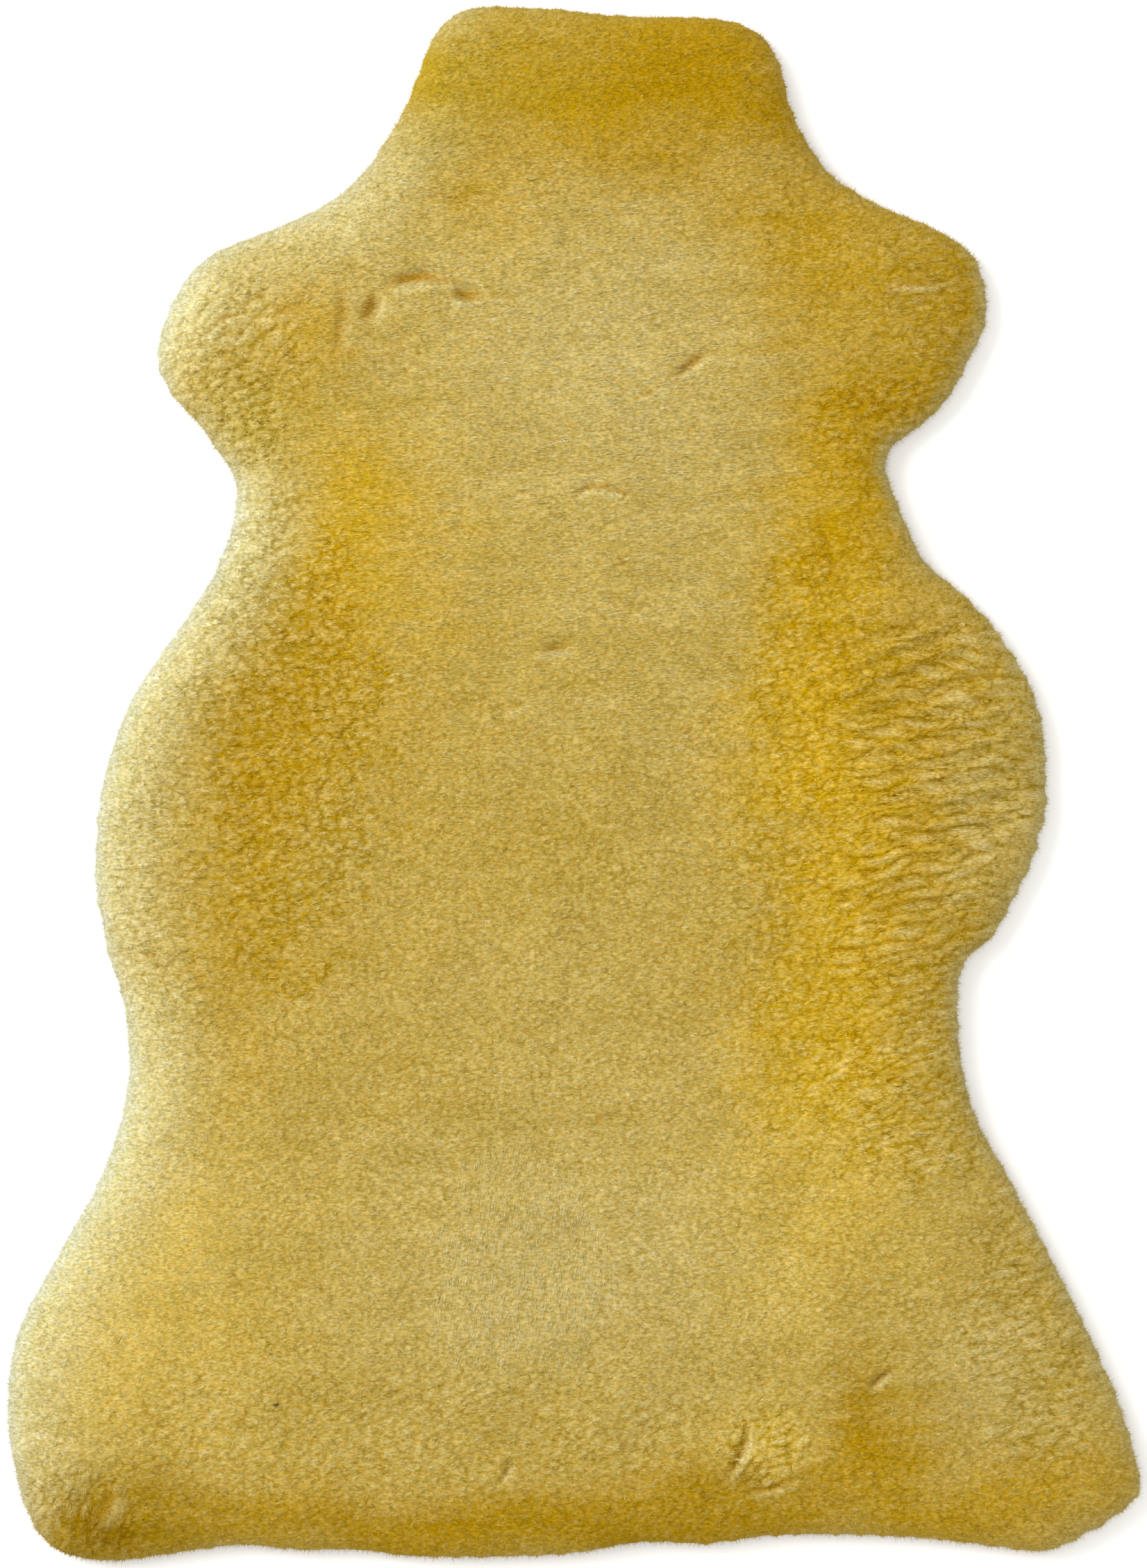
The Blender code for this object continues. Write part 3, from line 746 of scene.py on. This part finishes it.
def store_attributes(mesh, colours, rises, parts):
    """Three attributes on a mesh's corners: the colour with its painted light and shade, how near the tip it
    is, and how much the wool parts.
    """
    layer = mesh.color_attributes.new("dye_and_painted_light", "FLOAT_COLOR", "POINT")
    layer.data.foreach_set("color", np.column_stack((colours, np.ones(len(colours)))).ravel())
    layer = mesh.attributes.new("rise", "FLOAT", "POINT")
    layer.data.foreach_set("value", rises)
    layer = mesh.attributes.new("parts", "FLOAT", "POINT")
    layer.data.foreach_set("value", parts)


hide_line = [edge for edge in wool_shape.edges if edge.is_boundary]
closing = bmesh.ops.contextual_create(wool_shape, geom=hide_line)["faces"]
bmesh.ops.triangulate(wool_shape, faces=closing)
for face in wool_shape.faces:
    face.smooth = True
fleece = object_from_bmesh("fleece", wool_shape)
fleece_parts = np.minimum(wool_locks["tone"], PARTS_LIMIT) * rim_calm(rim_distance / MM, LEAST_PARTS)
store_attributes(fleece.data, dye_and_painted_light, np.full(len(dye_and_painted_light), ROOT_RISE), fleece_parts)
print("Fleece:", len(fleece.data.polygons), "faces")

# %% [markdown]
# ## Tips of the locks
# A photograph from above shows little but tips: short strokes, pale at the end and darker at the
# root, that gather in small clumps and splay out over the rim. Hair curves would give finer ones,
# but they can't be exported. So each tip is a closed tuft of three sides, made once by an operator,
# and copied with arrays of places, leans and sizes.

# %% One tuft
TUFT_SIDES = 3
TEMPLATE_MERGE = 0.001


def tuft_template():
    """The corners and faces of a tuft one unit long and one unit wide."""
    shape = bmesh.new()
    bmesh.ops.create_cone(
        shape, cap_ends=True, cap_tris=False, segments=TUFT_SIDES, radius1=0.5, radius2=0.0, depth=1.0
    )
    bmesh.ops.remove_doubles(shape, verts=shape.verts, dist=TEMPLATE_MERGE)
    bmesh.ops.translate(shape, verts=shape.verts, vec=(0, 0, 0.5))
    bmesh.ops.recalc_face_normals(shape, faces=shape.faces)
    shape.verts.index_update()
    corners = np.array([vert.co[:] for vert in shape.verts])
    faces = np.array([[vert.index for vert in face.verts] for face in shape.faces])
    shape.free()
    return corners, faces


tuft_corners, tuft_faces = tuft_template()
print("A tuft has", len(tuft_corners), "corners and", len(tuft_faces), "faces")

# %% [markdown]
# ## Where the tips grow and how they lean
# The tips are scattered evenly over the underwool's squares. Each one rises from its root, is drawn
# towards the middle of its lock and lies along the lock's own heading, or out and down at the rim.
# The partings stay open, because no tip leans into them. Where the rim stands upright, many tips
# are short thin hairs instead, which soften the outline.

# %% Places and leans
TUFTS_PER_PIECE = 49000
PIECE_NAMES = ("wool_left_side", "wool_left_back", "wool_right_back", "wool_right_side")
TUFT_SEED = 11
NAP_SPREAD = 4
ROUND_SPREAD = 40
TIP_HEIGHT = 1.7 * MM
TIP_STROKE = 3.6 * MM
RIM_HEIGHT_SHARE = 0.8
RIM_STROKE = 3.0 * MM
RIM_SPAN = 16.0
LOCK_PULL = 0.6
PULL_LIMIT = 1.8 * MM
LOT_HEIGHT = 0.25
ROOT_DEPTH = 0.6 * MM
LOWEST_TIP = 0.4 * MM
MARK_SHORTER = 0.6
HAIR_SHARE = 0.6
HAIR_LENGTH = 4.6 * MM
HAIR_RANGE = (0.4, 1.0)
SPLAY_NAP = 0.6
SPLAY_DOWN = 0.4
STROKE_LONG = 1.5
STROKE_ROUND = 0.9
STROKE_RANGE = (0.4, 1.2)
HEIGHT_RANGE = (0.6, 1.3)
GROOVE_LOWER = 0.5
LEAST_LENGTH = 1e-9

random = np.random.default_rng(TUFT_SEED)


def unit(vectors):
    """The vectors at length one."""
    return vectors / np.maximum(np.linalg.norm(vectors, axis=-1, keepdims=True), LEAST_LENGTH)


def scatter(count):
    """The squares that a number of tufts grow on and the share of each corner at their places."""
    first, second, third, fourth = (smooth_places[squares[:, step]] for step in range(4))
    area = np.linalg.norm(np.cross(third - first, fourth - second), axis=1)
    steps = (np.arange(count) + random.random(count)) / count
    chosen = np.searchsorted(np.cumsum(area) / area.sum(), steps).clip(0, len(squares) - 1)
    across, up = random.random(count), random.random(count)
    shares = np.stack(((1 - across) * (1 - up), across * (1 - up), across * up, (1 - across) * up), axis=1)
    return squares[chosen], shares


def spread_over(values, corners, shares):
    """Values on the underwool's corners, read at the tufts' places."""
    return np.einsum("nc,nc...->n...", shares, values[corners])


count = TUFTS_PER_PIECE * len(PIECE_NAMES)
corners, shares = scatter(count)
root = spread_over(smooth_places, corners, shares)
normal = unit(spread_over(smooth_normals, corners, shares))
tuft_distance = spread_over(rim_distance, corners, shares) / MM
outward = unit(spread_over(np.column_stack((rim_heading, np.zeros(len(rim_heading)))), corners, shares))
rim_share = np.exp(-((tuft_distance / RIM_SPAN) ** 2))
level = np.clip(normal[:, 2], 0, 1)

root_x, root_y = root[:, 0] / MM, root[:, 1] / MM
tuft_locks = locks(root_x, root_y)
tuft_groove, tuft_lip = parting_marks(root_x, root_y)[1:]
tuft_dye_and_light = spread_over(patch_dye_and_light, corners, shares)
root = root + normal * relief(root_x, root_y, tuft_locks, tuft_distance, level)[:, None] * MM

stray = (NAP_SPREAD + ROUND_SPREAD * tuft_locks["round"]) * random.normal(size=count)
heading = np.radians(tuft_locks["turn"] + stray) + np.pi * random.integers(0, 2, count)
nap = np.column_stack((np.cos(heading), np.sin(heading), np.zeros(count)))
down = np.column_stack((np.zeros(count), np.zeros(count), -np.ones(count)))
splay = outward + SPLAY_NAP * nap + SPLAY_DOWN * down
nap = unit(nap * (1 - rim_share)[:, None] + splay * rim_share[:, None])
nap = nap - normal * np.sum(nap * normal, axis=1, keepdims=True)
stroke = TIP_STROKE * (STROKE_LONG - STROKE_ROUND * tuft_locks["round"])
stroke = (stroke + (RIM_STROKE - stroke) * rim_share) * random.uniform(*STROKE_RANGE, count)
stroke = stroke * (1 - MARK_SHORTER * np.maximum(tuft_groove, tuft_lip))
height = TIP_HEIGHT * (1 + (RIM_HEIGHT_SHARE - 1) * rim_share) * random.uniform(*HEIGHT_RANGE, count)
height = height * (1 + LOT_HEIGHT * tuft_locks["lot"] * level) * (1 - GROOVE_LOWER * tuft_groove)
is_hair = random.random(count) < HAIR_SHARE * (1 - level) ** 0.5
height = np.where(is_hair, HAIR_LENGTH * random.uniform(*HAIR_RANGE, count) ** 2, height)
inwards = np.column_stack((tuft_locks["middle_x"] - root_x, tuft_locks["middle_y"] - root_y)) * MM
reach = np.maximum(np.linalg.norm(inwards, axis=1), PULL_LIMIT)
inwards = inwards * (LOCK_PULL * level ** 2 * PULL_LIMIT / reach)[:, None]
tip = root + normal * height[:, None] + nap * stroke[:, None]
tip[:, :2] += inwards
tip[:, 2] = np.maximum(tip[:, 2], LOWEST_TIP)
root = root - normal * ROOT_DEPTH
root[:, 2] = np.maximum(root[:, 2], LOWEST_TIP + FLAT_HEIGHT)
print("Tufts:", count, "mean length", round(float(np.linalg.norm(tip - root, axis=1).mean()) / MM, 1), "mm")

# %% [markdown]
# ## Joining the tufts into pieces
# One object for each tuft would be far too many, so the arrays are joined into four pieces, each a
# strip of the skin from neck to tail. Light gets in between real hairs, so a tuft is shaded by the
# slope of the lock that it belongs to, and only a little by its own sides. Each tuft has its own cell
# in the UV map, its root at the bottom of the cell, so that the colour can be baked.

# %% Pieces of wool
TUFT_WIDTH = 1.25 * MM
TUFT_THICKNESS = 0.5
RIM_SLENDER = 0.3
HAIR_SLENDER = 0.34
CELL_MARGIN = 0.12
TONE_SPREAD = 0.05
SLOPE_SHARE = 0.55
SLOPE_LIMIT = 0.8
FACET = 0.12
ASIDE = 0.01
GIRTH_RANGE = (0.75, 1.25)
END_RANGE = (0.75, 1.0)
RIM_TONE = 0.5
BASE_HEIGHT = 0.6


def tuft_points(members):
    """The corners of some tufts, one row of corners for each, and which way each corner bulges."""
    line = tip[members] - root[members]
    axis = unit(line)
    side = unit(np.cross(normal[members] + ASIDE, axis))
    over = np.cross(axis, side)
    steep = 1 - level[members]
    girth = TUFT_WIDTH * random.uniform(*GIRTH_RANGE, len(members)) * (1 - RIM_SLENDER * steep)
    girth = np.where(is_hair[members], HAIR_SLENDER * girth, girth)
    wide = side * girth[:, None]
    thick = over * (girth * TUFT_THICKNESS)[:, None]
    points = np.stack([root[members] + line * z + wide * x + thick * y for x, y, z in tuft_corners], axis=1)
    points[:, :, 2] = np.maximum(points[:, :, 2], LOWEST_TIP)
    facet = np.stack([wide * x + thick * y for x, y, z in tuft_corners], axis=1)
    return points, unit(facet)


def corner_looks(points, members):
    """The colour of every corner, and the normal that it is shaded with.

    They are read at the corner's own place, so that a parting is thinner than a tuft is wide. How
    much the wool parts there is returned too."""
    per_tuft = len(tuft_corners)
    x, y = points[:, :, 0].ravel() / MM, points[:, :, 1].ravel() / MM
    found = locks(x, y)
    groove, lip = parting_marks(x, y)[1:]
    colours = lock_colours(np.repeat(tuft_dye_and_light[members], per_tuft, axis=0), found, groove, lip)
    slopes = np.column_stack((found["slope_x"], found["slope_y"])) + np.column_stack(marks_slope(x, y))
    upright = np.repeat(normal[members], per_tuft, axis=0)
    slopes = slopes * SLOPE_SHARE * np.clip(upright[:, 2:], 0, 1)
    steepness = np.linalg.norm(slopes, axis=1, keepdims=True)
    slopes = slopes * SLOPE_LIMIT / np.maximum(steepness, SLOPE_LIMIT)
    upright[:, :2] -= slopes
    calm = np.repeat(rim_calm(tuft_distance[members], LEAST_PARTS), per_tuft)
    return colours, upright, np.minimum(found["tone"], PARTS_LIMIT) * calm


def cell_places(members):
    """The column and row of each tuft's cell, so that neighbours on the skin are neighbours there."""
    side = math.ceil(math.sqrt(len(members)))
    column, row = np.zeros(len(members)), np.zeros(len(members))
    for number, rank in enumerate(np.array_split(np.argsort(-root[members, 1]), side)):
        rank = rank[np.argsort(root[members[rank], 0])]
        column[rank], row[rank] = np.arange(len(rank)), number
    return column, row, side


def tuft_uv(members):
    """The UV place of every face corner: each side fills the cell, and the base its lowest part."""
    column, row, side = cell_places(members)
    low, high = CELL_MARGIN, 1 - CELL_MARGIN
    side_face = ((low, low), (high, low), (0.5, high))
    base_face = ((low, low), (high, low), (0.5, 0.5 * (low + high) * BASE_HEIGHT))
    patterns = []
    for face in tuft_faces:
        heights = tuft_corners[face, 2]
        if heights.max() < 0.5:
            patterns.append(base_face)
            continue
        apex = int(heights.argmax())
        patterns.append([side_face[(step - apex - 1) % 3] for step in range(3)])
    patterns = np.array(patterns)
    corner = np.stack((column, row), axis=1)[:, None, None, :]
    return (corner + patterns[None]) / side


def tuft_piece(name, members):
    """One object of closed tufts, with their colour and its painted light and shade, rise, shading normals
    and UV map.
    """
    points, facet = tuft_points(members)
    colours, soft, parts = corner_looks(points, members)
    soft = unit(soft + facet.reshape(-1, 3) * FACET)
    per_tuft = len(tuft_corners)
    faces = (np.arange(len(members))[:, None, None] * per_tuft + tuft_faces).reshape(-1, 3)
    mesh = bpy.data.meshes.new(name)
    mesh.from_pydata(points.reshape(-1, 3), [], faces.tolist())
    mesh.shade_smooth()
    tone = TONE_SPREAD * (1 - RIM_TONE * rim_share[members]) * random.normal(size=len(members))
    colours = lightened(colours, np.repeat(tone, per_tuft))
    end = random.uniform(*END_RANGE, len(members))
    rises = (end[:, None] * tuft_corners[:, 2]).ravel()
    store_attributes(mesh, colours, rises, parts)
    layer = mesh.uv_layers.new(name="OFBake")
    layer.data.foreach_set("uv", tuft_uv(members).astype(np.float32).ravel())
    mesh.normals_split_custom_set_from_vertices(soft)
    return mesh_object(name, mesh)


by_side = np.array_split(np.argsort(root[:, 0]), len(PIECE_NAMES))
wool_pieces = [tuft_piece(name, np.sort(members)) for name, members in zip(PIECE_NAMES, by_side)]
print("Triangles a piece:", [len(piece.data.polygons) for piece in wool_pieces])

# %% [markdown]
# ## The hide
# The wool grows on a sheet of leather about two millimetres thick, with its suede side down. It
# is seen only from below or when a corner is lifted. Its outline is the flat underside of the solid,
# so those faces are copied and given their thickness.

# %% Hide
HIDE_THICKNESS = 2.0 * MM
UNDERSIDE_LIMIT = 0.05 * MM

hide_shape = bmesh.new()
hide_shape.from_mesh(pelt.data)
bmesh.ops.remove_doubles(hide_shape, verts=hide_shape.verts, dist=MERGE)
raised = [face for face in hide_shape.faces if max(v.co.z for v in face.verts) > UNDERSIDE_LIMIT]
bmesh.ops.delete(hide_shape, geom=raised, context="FACES")
hide_area = sum(face.calc_area() for face in hide_shape.faces)
risen = bmesh.ops.extrude_face_region(hide_shape, geom=hide_shape.faces[:])
risen = [item for item in risen["geom"] if isinstance(item, bmesh.types.BMVert)]
bmesh.ops.translate(hide_shape, verts=risen, vec=(0, 0, HIDE_THICKNESS))
bmesh.ops.recalc_face_normals(hide_shape, faces=hide_shape.faces)
hide = object_from_bmesh("hide", hide_shape)

# %% [markdown]
# ## Chaff and a stray hair
# A clean skin still carries a speck or two from the meadow. One dark fleck of chaff lies on the
# left thigh and one loose hair near the rim. Each is a thin spindle, bowed a little, on the pile.

# %% Chaff and hair
Speck = namedtuple("Speck", "name x y above length width turn")
SPECKS = (
    Speck("chaff", -179, -374, 2.6, 4.0, 1.6, 8),
    Speck("stray_hair", -273, -335, 2.8, 6.5, 0.5, 56),
)
NEAR_SPECK = 4.0
SPECK_BOW = 0.12
SPINDLE_SIDES = 8
SPINDLE_RINGS = 6


def wool_top(x, y):
    """How high the smooth wool stands at a place, which is given in millimetres from the middle."""
    near = (np.hypot(plan_x - x, plan_y - y) < NEAR_SPECK) & (facing_up > 0.5)
    return float(smooth_places[near, 2].max())


def add_speck(speck):
    """A thin spindle lying on the wool."""
    shape = bmesh.new()
    bmesh.ops.create_uvsphere(shape, u_segments=SPINDLE_SIDES, v_segments=SPINDLE_RINGS, radius=0.5)
    bmesh.ops.scale(shape, vec=(speck.length * MM, speck.width * MM, speck.width * MM), verts=shape.verts)
    spin = math.radians(speck.turn)
    top = wool_top(speck.x, speck.y)
    for vert in shape.verts:
        bow = SPECK_BOW * speck.length * MM * (2 * vert.co.x / (speck.length * MM)) ** 2
        x, y = vert.co.x, vert.co.y + bow
        vert.co.x = speck.x * MM + x * math.cos(spin) - y * math.sin(spin)
        vert.co.y = speck.y * MM + x * math.sin(spin) + y * math.cos(spin)
        vert.co.z += top + speck.above * MM
    for face in shape.faces:
        face.smooth = True
    return object_from_bmesh(speck.name, shape)


specks = [add_speck(speck) for speck in SPECKS]
print("Specks:", [piece.name for piece in specks])

# %% [markdown]
# ## Materials
# Wool has almost no gloss, and light goes a little way through it, which keeps its partings warm. So
# it is rough, with some subsurface. The colour, with its painted light and shade, is on the mesh
# already. A node group that all the wool shares deepens it towards the roots, as painted shade in the
# pile, pales it towards the tips, as painted light, and adds the fine crimp of the fibres and the
# thinnest partings, painted dark as painted shade, to the colour and to the bump. A helper adds each
# node with its values and with the sockets that feed it, which keeps the group short enough to read.

# %% Wool group
CRIMP_SCALE = 620.0
GRAIN_SCALE = 760.0
GRAIN_DRAWN = (0.5, 1.0, 0.5)
GRAIN_RANGE = (0.32, 0.68)
CRACK_SCALE = 215.0
CRACK_DRAWN = (0.6, 1.0, 0.0)
CRACK_SWAY = 3.0 * MM
CRACK_WIDTH = 0.17
PATCHY_SCALE = 110.0
PATCHY_RANGE = (0.38, 0.62)
GROUP_INPUTS = ("Root tone", "Tip tone", "Deep grain", "Pale grain", "Parting shade")


def add_node(tree, kind, inputs, **settings):
    """A new node with its settings. Its inputs are given as values or as the sockets that feed them."""
    made = tree.nodes.new("ShaderNode" + kind)
    for name, value in settings.items():
        setattr(made, name, value)
    for key, value in inputs.items():
        if isinstance(value, bpy.types.NodeSocket):
            tree.links.new(value, made.inputs[key])
        else:
            made.inputs[key].default_value = value
    return made


def noise_node(tree, place, scale, detail):
    """The outputs of a noise texture."""
    return add_node(tree, "TexNoise", {"Vector": place, "Scale": scale, "Detail": detail}).outputs


def drawn_out(tree, place, drawn):
    """Object coordinates stretched along one side, so that a pattern on them is drawn out."""
    return add_node(tree, "VectorMath", {0: place, 1: drawn}, operation="MULTIPLY").outputs["Vector"]


def share_between(tree, value, first, last):
    """How far a value has come from the first end of a range, 0, to its other end, 1."""
    return add_node(tree, "MapRange", {"Value": value, "From Min": first, "From Max": last}).outputs["Result"]


def mixed_nodes(tree, factor, first, second, **settings):
    """The output of a node that mixes two colours."""
    inputs = {"Factor": factor, 6: first, 7: second}
    return add_node(tree, "Mix", inputs, data_type="RGBA", **settings).outputs[2]


def crack_nodes(tree, place):
    """Fine partings between cells of wool, here and there: their mask, and how strongly their painted shade
    shows.
    """
    sway = noise_node(tree, place, CRACK_SCALE, 0.0)["Color"]
    inputs = {0: sway, 1: (CRACK_SWAY, CRACK_SWAY, 0.0), 2: drawn_out(tree, place, CRACK_DRAWN)}
    swayed = add_node(tree, "VectorMath", inputs, operation="MULTIPLY_ADD").outputs["Vector"]
    inputs = {"Vector": swayed, "Scale": CRACK_SCALE}
    cell = add_node(tree, "TexVoronoi", inputs, voronoi_dimensions="2D", feature="DISTANCE_TO_EDGE")
    edge = share_between(tree, cell.outputs["Distance"], CRACK_WIDTH, 0.0)
    patchy = share_between(tree, noise_node(tree, place, PATCHY_SCALE, 0.0)["Fac"], *PATCHY_RANGE)
    mask = add_node(tree, "Math", {0: edge, 1: patchy}, operation="MULTIPLY").outputs["Value"]
    parts = add_node(tree, "Attribute", {}, attribute_name="parts").outputs["Fac"]
    strength = add_node(tree, "Math", {0: mask, 1: parts}, operation="MULTIPLY", use_clamp=True)
    return mask, strength.outputs["Value"]


def wool_group():
    """The node group that turns the stored colour and rise into the wool's colour, with painted shade at the
    roots and in the partings, and its crimp.
    """
    group = bpy.data.node_groups.new("wool_colour", "ShaderNodeTree")
    for name in GROUP_INPUTS:
        group.interface.new_socket(name, in_out="INPUT", socket_type="NodeSocketColor")
    group.interface.new_socket("Colour", in_out="OUTPUT", socket_type="NodeSocketColor")
    group.interface.new_socket("Crimp", in_out="OUTPUT", socket_type="NodeSocketFloat")
    given = group.nodes.new("NodeGroupInput").outputs
    dyed_and_lit = add_node(group, "Attribute", {}, attribute_name="dye_and_painted_light").outputs["Color"]
    rise = add_node(group, "Attribute", {}, attribute_name="rise").outputs["Fac"]
    place = add_node(group, "TexCoord", {}).outputs["Object"]
    crimp = noise_node(group, place, CRIMP_SCALE, 1.0)["Fac"]
    grain = noise_node(group, drawn_out(group, place, GRAIN_DRAWN), GRAIN_SCALE, 1.0)["Fac"]
    grain = share_between(group, grain, *GRAIN_RANGE)
    mask, parted = crack_nodes(group, place)
    # Deeper towards the roots, as painted shade in the pile, and paler towards the tips, as painted light.
    depth = mixed_nodes(group, rise, given["Root tone"], given["Tip tone"])
    toned = mixed_nodes(group, 1.0, dyed_and_lit, depth, blend_type="MULTIPLY")
    shade = mixed_nodes(group, grain, given["Deep grain"], given["Pale grain"])
    varied = mixed_nodes(group, 1.0, toned, shade, blend_type="MULTIPLY")
    # The thinnest partings are painted dark, as painted shade.
    cracked = mixed_nodes(group, parted, varied, given["Parting shade"], blend_type="MULTIPLY")
    crimped = add_node(group, "Math", {0: crimp, 1: mask}, operation="SUBTRACT").outputs["Value"]
    result = group.nodes.new("NodeGroupOutput")
    group.links.new(cracked, result.inputs["Colour"])
    group.links.new(crimped, result.inputs["Crimp"])
    return group


wool_nodes = wool_group()
print("Group:", wool_nodes.name)

# %% [markdown]
# ## Finishes
# The underwool and the tips share the group and differ only in their tones and their bump. The suede
# and the chaff are plainer, two colours mixed by noise, because little of them is seen. The floor is
# matt and almost white, like the ground of the photograph.

# %% Materials
# The root tones deepen the wool towards its roots, as painted shade in the pile, and the tip tones pale it,
# as painted light. The underwool's tones are darker, as painted shade under the tips.
Wool = namedtuple("Wool", "name root tip bump")
WOOLS = (
    Wool("underwool", (0.78, 0.72, 0.48, 1), (0.95, 0.92, 0.85, 1), 0.4),
    Wool("wool_tips", (0.86, 0.81, 0.60, 1), (1.08, 1.09, 1.14, 1), 0.25),
)
DEEP_GRAIN = (0.83, 0.80, 0.55, 1)
PALE_GRAIN = (1.21, 1.25, 1.5, 1)
# The thinnest partings are painted this much darker, as painted shade.
PARTING_SHADE_TONE = (0.70, 0.63, 0.30, 1)
CRIMP_DEPTH = 0.4 * MM
WOOL_FINISH = {
    "Roughness": 0.95,
    "Sheen Weight": 0.015,
    "Sheen Roughness": 0.6,
    "Sheen Tint": (1.0, 0.95, 0.8, 1.0),
    "Specular IOR Level": 0.04,
    "Subsurface Weight": 0.3,
    "Subsurface Radius": (1.0, 0.7, 0.3),
    "Subsurface Scale": 0.8 * MM,
}
Finish = namedtuple("Finish", "name dark light scale roughness bump_depth")
FINISHES = (
    Finish("suede", (0.36, 0.24, 0.11, 1), (0.56, 0.42, 0.23, 1), 60.0, 0.9, 0.3 * MM),
    Finish("husk", (0.02, 0.012, 0.004, 1), (0.06, 0.04, 0.01, 1), 900.0, 0.7, 0.1 * MM),
)
FINISH_DETAIL = 6.0
FINISH_BUMP = 0.6
FLOOR_FINISH = {"Roughness": 0.8, "Base Color": (0.9, 0.9, 0.9, 1)}


def plain_material(name, finish):
    """A new material and its Principled shader with the values of its finish."""
    material = bpy.data.materials.new(name)
    material.use_nodes = True
    shader = material.node_tree.nodes["Principled BSDF"]
    for socket, value in finish.items():
        shader.inputs[socket].default_value = value
    return material, shader


def join_shader(tree, shader, colour, height, strength, distance):
    """Feeds a shader with a colour and with a height as bump."""
    bump = add_node(tree, "Bump", {"Height": height, "Strength": strength, "Distance": distance})
    tree.links.new(colour, shader.inputs["Base Color"])
    tree.links.new(bump.outputs["Normal"], shader.inputs["Normal"])


def wool_material(wool):
    """A wool finish from the shared group with its own tones."""
    material, shader = plain_material(wool.name, WOOL_FINISH)
    tree = material.node_tree
    tones = (wool.root, wool.tip, DEEP_GRAIN, PALE_GRAIN, PARTING_SHADE_TONE)
    group = add_node(tree, "Group", {}, node_tree=wool_nodes)
    for name, tone in zip(GROUP_INPUTS, tones):
        group.inputs[name].default_value = tone
    join_shader(tree, shader, group.outputs["Colour"], group.outputs["Crimp"], wool.bump, CRIMP_DEPTH)
    return material


def noise_material(finish):
    """A finish of two colours mixed by noise, with the same noise as its bump."""
    material, shader = plain_material(finish.name, {"Roughness": finish.roughness})
    tree = material.node_tree
    place = add_node(tree, "TexCoord", {}).outputs["Object"]
    noise = noise_node(tree, place, finish.scale, FINISH_DETAIL)["Fac"]
    colour = mixed_nodes(tree, noise, finish.dark, finish.light)
    join_shader(tree, shader, colour, noise, FINISH_BUMP, finish.bump_depth)
    return material


underwool, wool_tips = (wool_material(wool) for wool in WOOLS)
suede, husk = (noise_material(finish) for finish in FINISHES)
paper = plain_material("pale_floor", FLOOR_FINISH)[0]
fleece.data.materials.append(underwool)
hide.data.materials.append(suede)
floor.data.materials.append(paper)
for piece in wool_pieces:
    piece.data.materials.append(wool_tips)
for piece in specks:
    piece.data.materials.append(husk)
print("Materials:", [material.name for material in bpy.data.materials])

# %% [markdown]
# ## Telling the frame
# The imported solid keeps its place for the physics, and these pieces are shown instead of it. Each
# is hung on the rug's root body.

# %% Frame
wool_all = [fleece, *wool_pieces]
for piece in [hide, *wool_all, *specks]:
    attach(piece, "root")
for piece in [hide, *wool_all]:
    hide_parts("sheepskin_pelt")
total = sum(len(piece.data.polygons) for piece in wool_all)
print("Faces of wool:", total)
